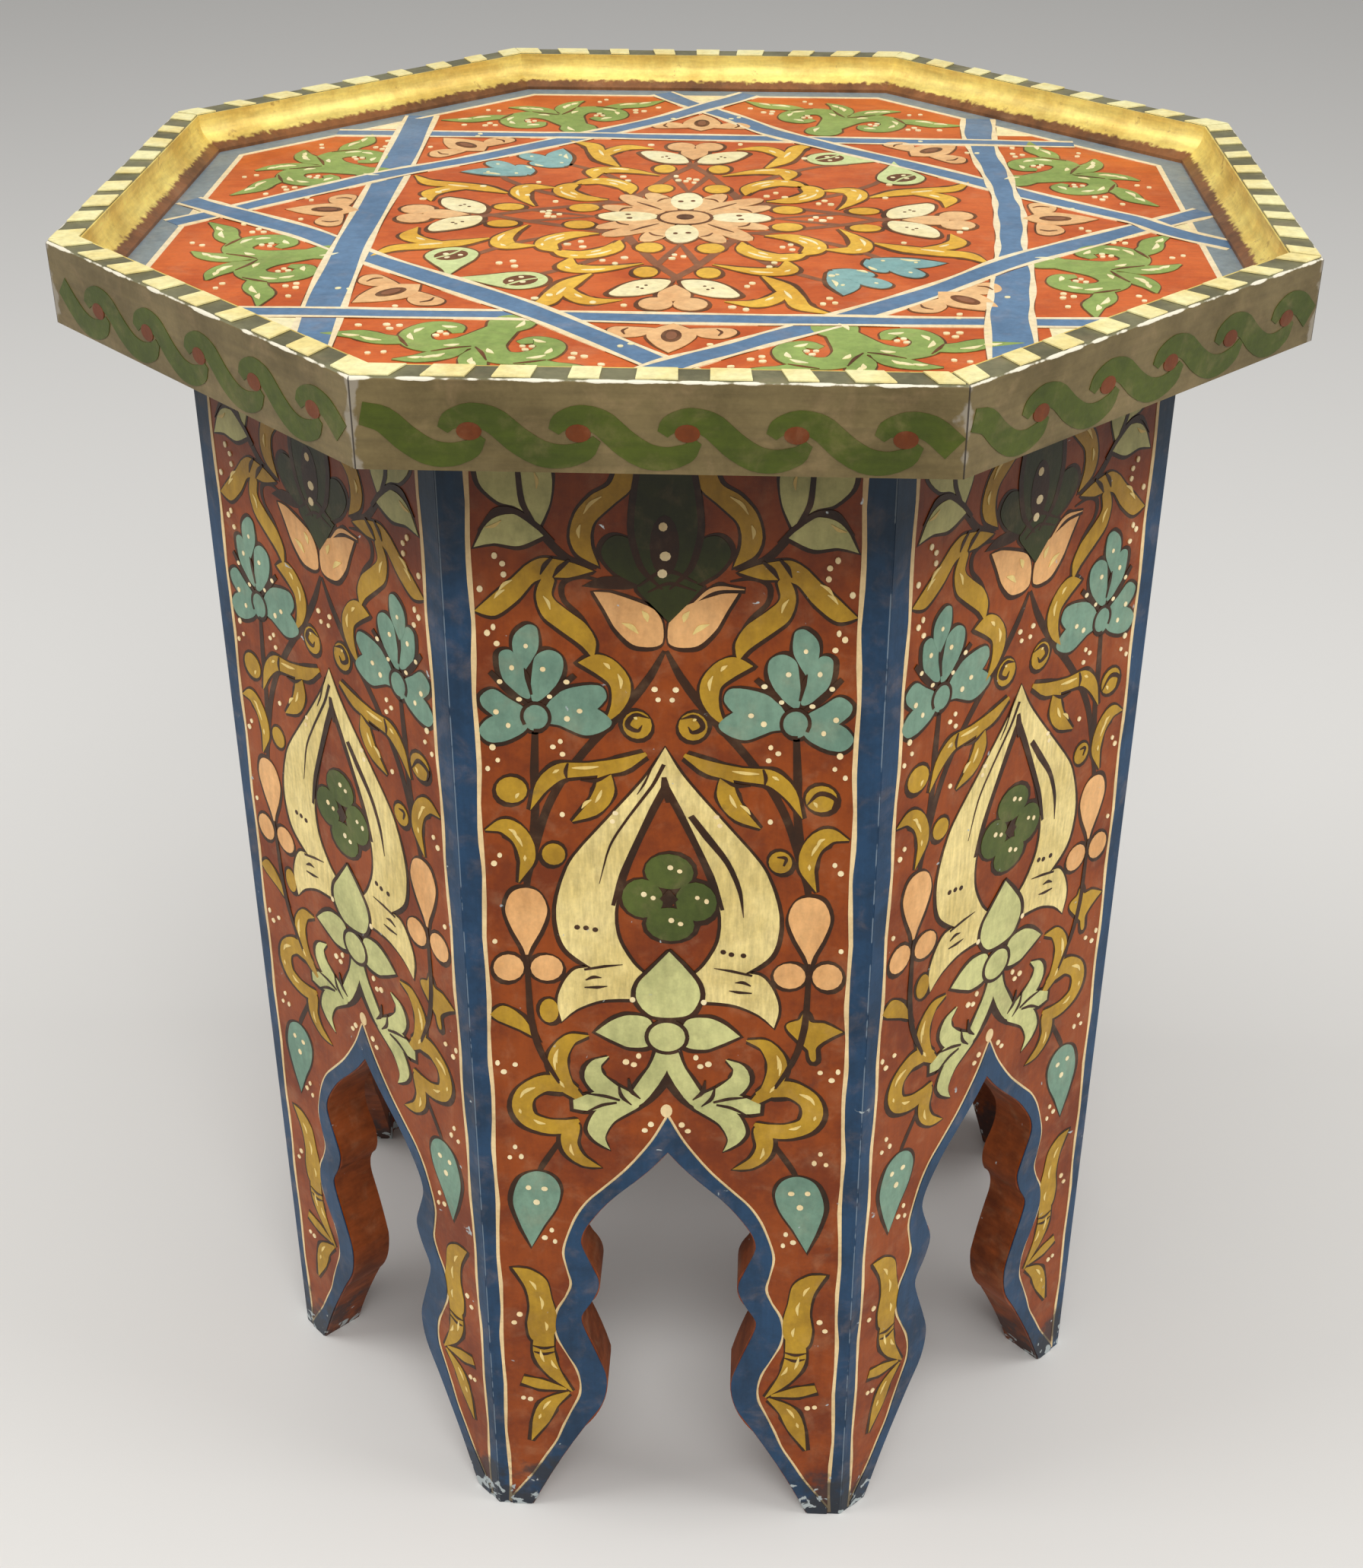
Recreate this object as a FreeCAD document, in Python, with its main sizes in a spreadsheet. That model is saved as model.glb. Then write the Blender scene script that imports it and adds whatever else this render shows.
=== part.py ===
import FreeCAD, Part
import Sketcher
import math
import os

# Octagonal painted side table: eight mitred side boards with cusped arches carry
# a tray top made of a board, edging strips and a cove moulding.
# Millimetres. The origin is on the floor at the table's centre, +Z is up, and
# the first side board faces -Y.

DRIVING_SIZES = [
    ("side_count", "8"),
    ("table_height", "445"),
    ("top_across_flats", "370"),
    ("top_overhang", "34.5"),
    ("side_thickness", "16"),
    ("foot_width", "12.5"),
    ("arch_height", "169"),
    ("top_board_thickness", "12.5"),
    ("tray_depth", "12"),
    ("edging_thickness", "9"),
    ("edge_rounding", "0.8"),
    ("cove_width", "7.4"),
    ("cove_land", "0.5"),
    ("cove_reach", "3.4"),
    ("cove_drop", "8.6"),
    ("cove_foot", "1.2"),
    ("block_height", "60"),
    ("block_leg", "22"),
    ("block_depth", "24"),
    ("screw_inset", "14"),
    ("screw_diameter", "4"),
    ("screw_bite", "9"),
    ("screw_head_diameter", "8"),
    ("screw_head_height", "2.6"),
    ("screw_slot_width", "1.2"),
    ("screw_slot_depth", "1.2"),
    ("screw_recess", "34"),
    ("recess_clearance", "0.5"),
    ("pin_diameter", "2"),
    ("pin_spacing", "90"),
    ("pin_in_board", "12"),
    ("pin_in_edging", "5"),
    ("fit_clearance", "0.05"),
    ("cut_overrun", "2"),
]

# Where the cove's hollow face bends, as shares of its reach and its drop.
COVE_BEND_REACH_SHARE = 0.15
COVE_BEND_DROP_SHARE = 0.56

# Places worked out from the driving sizes. Each rule may use the ones above it.
WORKED_OUT = [
    ("half_turn", "180 / sizes.side_count"),
    ("edging_outer", "sizes.top_across_flats / 2"),
    ("side_height", "sizes.table_height - sizes.tray_depth - sizes.top_board_thickness"),
    ("tray_floor", "sizes.table_height - sizes.tray_depth"),
    ("rim_level", "sizes.table_height"),
    ("side_outer", "places.edging_outer - sizes.top_overhang"),
    ("side_inner", "places.side_outer - sizes.side_thickness"),
    ("side_outer_half", "places.side_outer * tan(places.half_turn)"),
    ("side_inner_half", "places.side_inner * tan(places.half_turn)"),
    ("arch_half_width", "places.side_outer_half - sizes.foot_width"),
    ("arch_height", "sizes.arch_height"),
    ("overrun", "sizes.cut_overrun"),
    ("edging_inner", "places.edging_outer - sizes.edging_thickness"),
    ("edging_outer_half", "places.edging_outer * tan(places.half_turn)"),
    ("edging_inner_half", "places.edging_inner * tan(places.half_turn)"),
    ("edging_height", "sizes.table_height - places.side_height"),
    ("board_corner", "places.edging_inner / cos(places.half_turn)"),
    ("cove_lip", "places.edging_inner - sizes.cove_land"),
    ("cove_step", "places.cove_lip - sizes.cove_reach"),
    ("cove_bend", f"places.cove_lip - {COVE_BEND_REACH_SHARE} * sizes.cove_reach"),
    ("cove_bend_level", f"sizes.table_height - {COVE_BEND_DROP_SHARE} * sizes.cove_drop"),
    ("cove_step_level", "sizes.table_height - sizes.cove_drop"),
    ("cove_toe", "places.edging_inner - sizes.cove_width"),
    ("cove_toe_level", "places.tray_floor + sizes.cove_foot"),
    ("cove_blank_half", "places.edging_inner_half + sizes.cut_overrun"),
    ("cove_cut_outer", "places.edging_inner + sizes.cut_overrun"),
    ("cove_cut_inner", "places.cove_toe - sizes.cut_overrun"),
    ("cove_cut_outer_half", "places.cove_cut_outer * tan(places.half_turn)"),
    ("cove_cut_inner_half", "places.cove_cut_inner * tan(places.half_turn)"),
    ("cove_cut_end", "places.cove_cut_outer_half + sizes.cut_overrun"),
    ("block_corner", "places.side_inner / cos(places.half_turn)"),
    ("block_shoulder", "places.block_corner - sizes.block_leg * sin(places.half_turn)"),
    ("block_half_width", "sizes.block_leg * cos(places.half_turn)"),
    ("block_back", "places.block_corner - sizes.block_depth"),
    ("block_foot_level", "places.side_height - sizes.block_height"),
    ("screw_circle", "places.block_corner - sizes.screw_inset"),
    ("screw_across", "places.screw_circle * sin(places.half_turn)"),
    ("screw_forward", "places.screw_circle * cos(places.half_turn)"),
    ("screw_seat_level", "places.block_foot_level + sizes.screw_recess"),
    ("screw_head_level", "places.screw_seat_level - sizes.screw_head_height"),
    ("screw_length", "places.side_height + sizes.screw_bite - places.screw_seat_level"),
    ("slot_half_length", "sizes.screw_head_diameter / 2 + sizes.cut_overrun"),
    ("slot_front", "places.screw_circle + sizes.screw_slot_width / 2"),
    ("slot_back", "places.screw_circle - sizes.screw_slot_width / 2"),
    ("pin_offset", "sizes.pin_spacing / 2"),
    ("pin_level", "places.side_height + sizes.top_board_thickness / 2"),
    ("pin_tail", "places.edging_inner - sizes.pin_in_board"),
    ("pin_length", "sizes.pin_in_board + sizes.pin_in_edging"),
]

# Half of the arch, from the floor to its point: where each arc starts, and a
# place that it passes through, as shares of the arch's half width and height.
ARCH_ARC_SHARES = [
    ((1.000, 0.000), (0.822, 0.118)),
    ((0.601, 0.243), (0.467, 0.314)),
    ((0.431, 0.385), (0.489, 0.450)),
    ((0.571, 0.521), (0.593, 0.562)),
    ((0.511, 0.609), (0.467, 0.654)),
    ((0.511, 0.698), (0.581, 0.760)),
    ((0.541, 0.805), (0.401, 0.867)),
    ((0.220, 0.923), (0.104, 0.960)),
]

SAME_PLACE = 1e-6

doc = FreeCAD.newDocument("octagonal_side_table")
sizes = doc.addObject("Spreadsheet::Sheet", "sizes")
for row, (alias, number) in enumerate(DRIVING_SIZES, start=1):
    sizes.set(f"A{row}", alias)
    sizes.set(f"B{row}", number)
    sizes.setAlias(f"B{row}", alias)
doc.recompute()

places = doc.addObject("App::VarSet", "places")
for name, rule in WORKED_OUT:
    places.addProperty("App::PropertyFloat", name, "Places")
    places.setExpression(name, rule)
doc.recompute()

side_count = int(sizes.side_count)
side_turn = 360 / side_count
corner_turn = side_turn / 2

sub_parts = []


def length_of(measure):
    share, name = measure
    return share * getattr(places, name)


def rule_of(measure):
    share, name = measure
    return f"{share:.9f} * places.{name}"


def spot(place):
    across, up = place
    return FreeCAD.Vector(length_of(across), length_of(up), 0)


def new_body(label):
    body = doc.addObject("PartDesign::Body", label)
    body.Label = label
    sub_parts.append(body)
    return body


def turn_to(body, angle):
    body.Placement = FreeCAD.Placement(
        FreeCAD.Vector(), FreeCAD.Rotation(FreeCAD.Vector(0, 0, 1), angle))


def origin_feature(body, role):
    return next(item for item in body.Origin.OriginFeatures if item.Role == role)


def new_sketch(body, name, plane, offset=None):
    """An empty sketch on one of the body's own planes, offset along its normal."""
    sketch = body.newObject("Sketcher::SketchObject", name)
    sketch.AttachmentSupport = [(origin_feature(body, plane), "")]
    sketch.MapMode = "FlatFace"
    if offset:
        sketch.setExpression("AttachmentOffset.Base.z", offset)
    return sketch


def hold_point(shape, end, place):
    """The constraints that hold one point at a place, each with its rule or None."""
    held = []
    for kind, axis, measure in zip(("DistanceX", "DistanceY"), (-2, -1), place):
        if measure[0] == 0:
            held.append((Sketcher.Constraint("PointOnObject", shape, end, axis), None))
        else:
            distance = Sketcher.Constraint(kind, -1, 1, shape, end, length_of(measure))
            held.append((distance, rule_of(measure)))
    return held


def constrain(sketch, held):
    """Add constraints in one go, and bind those that have a rule."""
    first = sketch.ConstraintCount
    sketch.addConstraint([constraint for constraint, _ in held])
    for index, (_, rule) in enumerate(held, start=first):
        if rule:
            sketch.setExpression(f"Constraints[{index}]", rule)


def draw_outline(sketch, corners, bends=None):
    """A closed outline of straight runs, with an arc where a bend is given."""
    bends = bends or {}
    runs = []
    for index, corner in enumerate(corners):
        start = spot(corner)
        stop = spot(corners[(index + 1) % len(corners)])
        if index in bends:
            shape = sketch.addGeometry(Part.Arc(start, spot(bends[index]), stop), False)
        else:
            shape = sketch.addGeometry(Part.LineSegment(start, stop), False)
        forwards = sketch.getPoint(shape, 1).isEqual(start, SAME_PLACE)
        runs.append((shape, 1, 2) if forwards else (shape, 2, 1))
    held = []
    for index, (shape, first, last) in enumerate(runs):
        following, entry, _ = runs[(index + 1) % len(runs)]
        joint = Sketcher.Constraint("Coincident", shape, last, following, entry)
        held += [(joint, None)] + hold_point(shape, first, corners[index])
    for index, bend in bends.items():
        point = sketch.addGeometry(Part.Point(spot(bend)), True)
        touch = Sketcher.Constraint("PointOnObject", point, 1, runs[index][0])
        held += [(touch, None)] + hold_point(point, 1, bend)
    constrain(sketch, held)


def draw_circles(sketch, centres, radius_rule):
    """Circles of one radius at the given places. The rule sets the real radius."""
    held = []
    first_radius = sizes.screw_diameter
    for centre in centres:
        circle = Part.Circle(spot(centre), FreeCAD.Vector(0, 0, 1), first_radius)
        shape = sketch.addGeometry(circle, False)
        radius = Sketcher.Constraint("Radius", shape, first_radius)
        held += hold_point(shape, 3, centre) + [(radius, radius_rule)]
    constrain(sketch, held)


def extrude(body, kind, name, sketch, length_rule, along_normal=True):
    """A pad or pocket of a sketch, along its normal or against it."""
    feature = body.newObject(f"PartDesign::{kind}", name)
    feature.Profile = sketch
    feature.setExpression("Length", length_rule)
    feature.Reversed = along_normal if kind == "Pocket" else not along_normal
    return feature


def repeat_round(body, name, features):
    """Repeat features at every side of the table."""
    pattern = body.newObject("PartDesign::PolarPattern", name)
    pattern.Originals = features
    pattern.Axis = (origin_feature(body, "Z_Axis"), [""])
    pattern.Angle = 360
    pattern.setExpression("Occurrences", "sizes.side_count")
    body.Tip = pattern
    return pattern


def trapezoid(outer_half, outer, inner_half, inner):
    """The plan of a mitred piece along the front side."""
    return [
        ((-1, outer_half), (-1, outer)),
        ((1, outer_half), (-1, outer)),
        ((1, inner_half), (-1, inner)),
        ((-1, inner_half), (-1, inner)),
    ]


def half_arch():
    """The right half of the arch, with its mouth run on below the floor."""
    corners = [((0, "arch_half_width"), (-1, "overrun")), ((1, "arch_half_width"), (-1, "overrun"))]
    bends = {}
    for (across, up), (bend_across, bend_up) in ARCH_ARC_SHARES:
        bends[len(corners)] = ((bend_across, "arch_half_width"), (bend_up, "arch_height"))
        corners.append(((across, "arch_half_width"), (up, "arch_height")))
    corners.append(((0, "arch_half_width"), (1, "arch_height")))
    return corners, bends


def make_side_board(number):
    """An upright board, bevelled along both long edges, with an arch at its foot."""
    body = new_body(f"side_board_{number}")
    plan = new_sketch(body, "board_plan", "XY_Plane")
    draw_outline(plan, trapezoid("side_outer_half", "side_outer", "side_inner_half", "side_inner"))
    extrude(body, "Pad", "board", plan, "places.side_height")
    front = new_sketch(body, "half_arch_outline", "XZ_Plane",
                       "places.side_outer + sizes.cut_overrun")
    corners, bends = half_arch()
    draw_outline(front, corners, bends)
    half = extrude(body, "Pocket", "half_arch", front,
                   "sizes.side_thickness + 2 * sizes.cut_overrun", along_normal=False)
    arch = body.newObject("PartDesign::Mirrored", "arch")
    arch.Originals = [half]
    arch.MirrorPlane = (origin_feature(body, "YZ_Plane"), [""])
    body.Tip = arch
    turn_to(body, (number - 1) * side_turn)


def make_top_board():
    """The board of the tray, with blind holes for the screws and the pins."""
    body = new_body("top_board")
    plan = new_sketch(body, "board_plan", "XY_Plane", "places.side_height")
    corners = []
    for index in range(side_count):
        angle = math.radians(index * side_turn + corner_turn)
        corners.append(((math.sin(angle), "board_corner"), (-math.cos(angle), "board_corner")))
    draw_outline(plan, corners)
    extrude(body, "Pad", "board", plan, "sizes.top_board_thickness")
    screw_plan = new_sketch(body, "screw_place", "XY_Plane", "places.side_height")
    draw_circles(screw_plan, [((1, "screw_across"), (-1, "screw_forward"))],
                 "sizes.screw_diameter / 2 + sizes.fit_clearance")
    screw_hole = extrude(body, "Pocket", "screw_hole", screw_plan,
                         "sizes.screw_bite + sizes.fit_clearance")
    repeat_round(body, "screw_holes", [screw_hole])
    pin_front = new_sketch(body, "pin_places", "XZ_Plane", "places.edging_inner")
    draw_circles(pin_front, [((side, "pin_offset"), (1, "pin_level")) for side in (-1, 1)],
                 "sizes.pin_diameter / 2 + sizes.fit_clearance")
    pin_hole = extrude(body, "Pocket", "pin_hole", pin_front,
                       "sizes.pin_in_board + sizes.fit_clearance", along_normal=False)
    repeat_round(body, "pin_holes", [pin_hole])


def top_outer_edge(shape):
    """The name of the edge where the strip's outer face meets its top."""
    for index, edge in enumerate(shape.Edges, start=1):
        middle = edge.CenterOfMass
        on_top = abs(middle.z - places.rim_level) < SAME_PLACE
        on_face = abs(middle.y + places.edging_outer) < SAME_PLACE
        if on_top and on_face:
            return f"Edge{index}"
    raise ValueError("the strip has no top outer edge")


def make_edging_strip(number):
    """An upright strip of the rim, with its top outer edge rounded."""
    body = new_body(f"edging_strip_{number}")
    plan = new_sketch(body, "strip_plan", "XY_Plane", "places.side_height")
    draw_outline(plan, trapezoid("edging_outer_half", "edging_outer",
                                 "edging_inner_half", "edging_inner"))
    extrude(body, "Pad", "strip", plan, "places.edging_height")
    pin_back = new_sketch(body, "pin_places", "XZ_Plane", "places.edging_inner")
    draw_circles(pin_back, [((side, "pin_offset"), (1, "pin_level")) for side in (-1, 1)],
                 "sizes.pin_diameter / 2 + sizes.fit_clearance")
    holes = extrude(body, "Pocket", "pin_holes", pin_back,
                    "sizes.pin_in_edging + sizes.fit_clearance")
    doc.recompute()
    rounding = body.newObject("PartDesign::Fillet", "rounded_edge")
    rounding.Base = (holes, [top_outer_edge(holes.Shape)])
    rounding.setExpression("Radius", "sizes.edge_rounding")
    turn_to(body, (number - 1) * side_turn)


def make_cove_strip(number):
    """The moulding inside the rim: a hollow face over a sloping foot."""
    body = new_body(f"cove_strip_{number}")
    section = new_sketch(body, "cove_section", "YZ_Plane", "-places.cove_blank_half")
    corners = [
        ((-1, "edging_inner"), (1, "tray_floor")),
        ((-1, "cove_toe"), (1, "tray_floor")),
        ((-1, "cove_toe"), (1, "cove_toe_level")),
        ((-1, "cove_step"), (1, "cove_step_level")),
        ((-1, "cove_lip"), (1, "rim_level")),
        ((-1, "edging_inner"), (1, "rim_level")),
    ]
    draw_outline(section, corners, {3: ((-1, "cove_bend"), (1, "cove_bend_level"))})
    extrude(body, "Pad", "moulding", section, "2 * places.cove_blank_half")
    for end, name in ((-1, "left_mitre"), (1, "right_mitre")):
        plan = new_sketch(body, f"{name}_plan", "XY_Plane", "places.tray_floor - sizes.cut_overrun")
        draw_outline(plan, [
            ((end, "cove_cut_outer_half"), (-1, "cove_cut_outer")),
            ((end, "cove_cut_end"), (-1, "cove_cut_outer")),
            ((end, "cove_cut_end"), (-1, "cove_cut_inner")),
            ((end, "cove_cut_inner_half"), (-1, "cove_cut_inner")),
        ])
        extrude(body, "Pocket", name, plan, "sizes.tray_depth + 2 * sizes.cut_overrun")
    turn_to(body, (number - 1) * side_turn)


def make_corner_block(number):
    """A glue block in a corner of the base, bored for its screw."""
    body = new_body(f"corner_block_{number}")
    plan = new_sketch(body, "block_plan", "XY_Plane", "places.block_foot_level")
    draw_outline(plan, [
        ((0, "block_half_width"), (-1, "block_corner")),
        ((1, "block_half_width"), (-1, "block_shoulder")),
        ((1, "block_half_width"), (-1, "block_back")),
        ((-1, "block_half_width"), (-1, "block_back")),
        ((-1, "block_half_width"), (-1, "block_shoulder")),
    ])
    extrude(body, "Pad", "block", plan, "sizes.block_height")
    centre = [((0, "screw_circle"), (-1, "screw_circle"))]
    recess_plan = new_sketch(body, "recess_place", "XY_Plane", "places.block_foot_level")
    draw_circles(recess_plan, centre, "sizes.screw_head_diameter / 2 + sizes.recess_clearance")
    extrude(body, "Pocket", "screw_recess", recess_plan, "sizes.screw_recess")
    hole_plan = new_sketch(body, "hole_place", "XY_Plane", "places.block_foot_level")
    draw_circles(hole_plan, centre, "sizes.screw_diameter / 2 + sizes.fit_clearance")
    extrude(body, "Pocket", "screw_hole", hole_plan, "sizes.block_height + sizes.cut_overrun")
    turn_to(body, (number - 1) * side_turn + corner_turn)


def make_block_screws():
    """The slotted screws that draw the top board down on the blocks."""
    body = new_body("block_screws")
    centre = [((0, "screw_circle"), (-1, "screw_circle"))]
    head_plan = new_sketch(body, "head_plan", "XY_Plane", "places.screw_head_level")
    draw_circles(head_plan, centre, "sizes.screw_head_diameter / 2")
    head = extrude(body, "Pad", "head", head_plan, "sizes.screw_head_height")
    slot_plan = new_sketch(body, "slot_plan", "XY_Plane", "places.screw_head_level")
    draw_outline(slot_plan, [
        ((-1, "slot_half_length"), (-1, "slot_front")),
        ((1, "slot_half_length"), (-1, "slot_front")),
        ((1, "slot_half_length"), (-1, "slot_back")),
        ((-1, "slot_half_length"), (-1, "slot_back")),
    ])
    slot = extrude(body, "Pocket", "slot", slot_plan, "sizes.screw_slot_depth")
    shank_plan = new_sketch(body, "shank_plan", "XY_Plane", "places.screw_seat_level")
    draw_circles(shank_plan, centre, "sizes.screw_diameter / 2")
    shank = extrude(body, "Pad", "shank", shank_plan, "places.screw_length")
    repeat_round(body, "screws", [head, slot, shank])
    turn_to(body, corner_turn)


def make_edging_pins():
    """Headless pins, blind in the edging strips and in the top board's edge."""
    body = new_body("edging_pins")
    front = new_sketch(body, "pin_places", "XZ_Plane", "places.pin_tail")
    draw_circles(front, [((side, "pin_offset"), (1, "pin_level")) for side in (-1, 1)],
                 "sizes.pin_diameter / 2")
    pins = extrude(body, "Pad", "pins", front, "places.pin_length")
    repeat_round(body, "pins_all_round", [pins])


def check_model():
    """Stop unless every feature worked, every cut removed wood and every solid is sound."""
    for item in doc.Objects:
        if "Invalid" in item.State or "Error" in item.State:
            raise ValueError(f"{item.Label} failed: {item.State}")
        if item.TypeId == "PartDesign::Pocket":
            removed = item.BaseFeature.Shape.Volume - item.Shape.Volume
            if removed <= 0:
                raise ValueError(f"{item.Label} cuts nothing")
    for body in sub_parts:
        shape = body.Shape
        if shape.isNull() or not shape.isValid():
            raise ValueError(f"{body.Label} has no sound shape")
        print(body.Label, "solids", len(shape.Solids), "volume", round(shape.Volume, 1))


for number in range(1, side_count + 1):
    make_side_board(number)
make_top_board()
for number in range(1, side_count + 1):
    make_edging_strip(number)
for number in range(1, side_count + 1):
    make_cove_strip(number)
for number in range(1, side_count + 1):
    make_corner_block(number)
make_block_screws()
make_edging_pins()
doc.recompute()
check_model()

os.makedirs("parts", exist_ok=True)
for body in sub_parts:
    body.Shape.exportStep(f"parts/{body.Label}.step")
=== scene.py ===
# %% [markdown]
# # A painted octagonal side table
# The real table is plain joinery under a rich coat of paint: eight boards, a tray top, and on
# every show face a hand-painted pattern of bands, leaves and flowers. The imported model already
# holds the joinery at its real size, so the work here is the painter's. We load that model first
# and never move it; everything we add is laid on its faces. `SPREAD` is half the width of one of the
# eight sides for each millimetre that it stands out from the middle.

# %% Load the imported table
import math
import random

import bpy
import numpy as np
from mathutils import Matrix, Vector


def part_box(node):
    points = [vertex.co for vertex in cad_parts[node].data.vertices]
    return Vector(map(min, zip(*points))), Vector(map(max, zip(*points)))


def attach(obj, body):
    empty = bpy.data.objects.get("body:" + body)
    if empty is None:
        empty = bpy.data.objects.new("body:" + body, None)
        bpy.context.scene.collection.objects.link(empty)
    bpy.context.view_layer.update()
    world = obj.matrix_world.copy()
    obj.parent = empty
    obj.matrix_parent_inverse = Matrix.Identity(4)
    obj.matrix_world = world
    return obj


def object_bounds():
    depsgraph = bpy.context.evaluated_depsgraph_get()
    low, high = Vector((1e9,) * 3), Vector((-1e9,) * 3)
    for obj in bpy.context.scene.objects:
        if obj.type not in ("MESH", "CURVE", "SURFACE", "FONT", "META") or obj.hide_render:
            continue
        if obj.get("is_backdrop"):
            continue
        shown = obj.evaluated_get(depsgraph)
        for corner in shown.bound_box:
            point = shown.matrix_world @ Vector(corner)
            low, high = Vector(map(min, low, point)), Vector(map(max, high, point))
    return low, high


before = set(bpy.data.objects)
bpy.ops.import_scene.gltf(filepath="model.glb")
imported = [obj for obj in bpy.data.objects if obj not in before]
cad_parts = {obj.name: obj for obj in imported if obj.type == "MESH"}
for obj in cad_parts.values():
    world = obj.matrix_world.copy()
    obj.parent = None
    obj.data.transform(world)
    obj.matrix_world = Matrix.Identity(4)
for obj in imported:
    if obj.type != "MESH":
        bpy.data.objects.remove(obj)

MM = 0.001
SIDES = 8
TURN = math.tau / SIDES
SPREAD = math.tan(TURN / 2)
cad_low, cad_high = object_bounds()
print("nodes", len(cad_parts), "box in mm", [round(v / MM) for v in cad_high - cad_low])

# %% [markdown]
# The painter needs a few sizes. All come from the loaded pieces, in millimetres: how far out a
# board's face stands, how wide it is, where the tray floor lies and where the rim is.

# %% Read the faces to be painted
board_low, board_high = (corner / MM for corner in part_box("side_board_1"))
strip_low, strip_high = (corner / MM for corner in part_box("edging_strip_1"))
FACE_OUT = -board_low.y
FACE_HALF = board_high.x
BOARD_TOP = board_high.z
TRAY_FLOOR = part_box("top_board")[1].z / MM
COVE_TOE = -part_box("cove_strip_1")[1].y / MM
RIM_OUT, RIM_IN = -strip_low.y, -strip_high.y
RIM_FOOT, RIM_TOP = strip_low.z, strip_high.z
print("board face", round(FACE_OUT, 1), "half width", round(FACE_HALF, 1), "tray floor", TRAY_FLOOR)

# %% [markdown]
# ## The camera
# The photograph looks down at the table by about 31 degrees, from just right of the middle. The
# lens and the place were found by matching the corners of the rim and the feet. `to_track_quat`
# points a camera's -Z axis along a direction and keeps its Y axis up.

# %% Set up the camera
CAMERA_PLACE = Vector((0.0281, -0.6863, 0.6304))
CAMERA_TURN = math.radians(2.53)
CAMERA_DIP = math.radians(30.92)
LENS_MM = 56.56

camera_data = bpy.data.cameras.new("camera")
camera_data.sensor_fit = "HORIZONTAL"
camera_data.sensor_width = 36
camera_data.lens = LENS_MM
camera = bpy.data.objects.new("camera", camera_data)
bpy.context.scene.collection.objects.link(camera)
sight = Vector((-math.sin(CAMERA_TURN) * math.cos(CAMERA_DIP),
                math.cos(CAMERA_TURN) * math.cos(CAMERA_DIP), -math.sin(CAMERA_DIP)))
camera.location = CAMERA_PLACE
camera.rotation_euler = sight.to_track_quat("-Z", "Y").to_euler()
bpy.context.scene.camera = camera
print("camera looks along", [round(v, 3) for v in sight])

# %% [markdown]
# ## Building materials by hand
# A material is a graph of nodes. In Blender's window they are wired with the mouse. In a script a few
# helpers keep the graphs short to write, and the first two do most of the work: `add` makes a node
# and plugs values or other nodes' outputs into it, and `colour` turns the numbers that a paint
# program shows into the ones that the nodes work in.

# %% Helpers: a colour and a node
def colour(red, green, blue):
    """A paint colour read off in 0-255, as the linear values that the nodes work in."""
    shares = (value / 255 for value in (red, green, blue))
    return (*((v / 12.92 if v < 0.04045 else ((v + 0.055) / 1.055) ** 2.4) for v in shares), 1)


def add(tree, kind, inputs=None, **settings):
    """A new node with its settings, and its inputs set or linked."""
    made = tree.nodes.new(kind)
    for name, value in settings.items():
        setattr(made, name, value)
    for name, value in (inputs or {}).items():
        if isinstance(value, bpy.types.NodeSocket):
            tree.links.new(value, made.inputs[name])
        else:
            made.inputs[name].default_value = value
    return made


print("mid grey of 128 is", round(colour(128, 128, 128)[0], 3), "to the nodes")

# %% [markdown]
# The next helpers name the few nodes that every finish uses, so that a finish reads like a recipe:
# sums, noises, a blend of two colours, and a soft step that makes a mask with a soft edge.
# `object_point` is where a point lies on the table, so a pattern runs on from piece to piece.

# %% Helpers: sums, noises and blends
def object_point(tree):
    return add(tree, "ShaderNodeTexCoord").outputs["Object"]


def sum_of(tree, operation, *values):
    """One Math node's output."""
    return add(tree, "ShaderNodeMath", dict(enumerate(values)), operation=operation).outputs[0]


def plus(tree, first, second):
    return sum_of(tree, "ADD", first, second)


def minus(tree, first, second):
    return sum_of(tree, "SUBTRACT", first, second)


def times(tree, first, second):
    return sum_of(tree, "MULTIPLY", first, second)


def scaled_by(tree, vector, factor):
    """A vector or a colour times another, or times one value."""
    return add(tree, "ShaderNodeVectorMath", {0: vector, 1: factor}, operation="MULTIPLY").outputs[0]


def height_of(tree, point):
    """How high a point is, in millimetres."""
    return sum_of(tree, "DIVIDE", add(tree, "ShaderNodeSeparateXYZ", {"Vector": point}).outputs["Z"], MM)


def noise_of(tree, point, **inputs):
    """One Noise Texture's value."""
    return add(tree, "ShaderNodeTexNoise", {"Vector": point} | inputs).outputs[0]


def blend_of(tree, share, first, second, way="MIX"):
    """One colour Mix node's output."""
    made = add(tree, "ShaderNodeMix", {0: share, 6: first, 7: second}, data_type="RGBA", blend_type=way)
    return made.outputs[2]


def step_between(tree, value, low, high):
    """0 below low, 1 above high and a soft ramp between; low above high turns it round."""
    made = add(tree, "ShaderNodeMapRange", {"Value": value, "From Min": low, "From Max": high},
               interpolation_type="SMOOTHSTEP")
    return made.outputs[0]


print("helpers for sums, noises, blends and steps")

# %% [markdown]
# An effect that many finishes share is a node group: a small graph with named inputs and outputs,
# built once and placed in each material with its own values. Copying its nodes into every material
# would work too, but a change would then have to be made in each of them.

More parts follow.
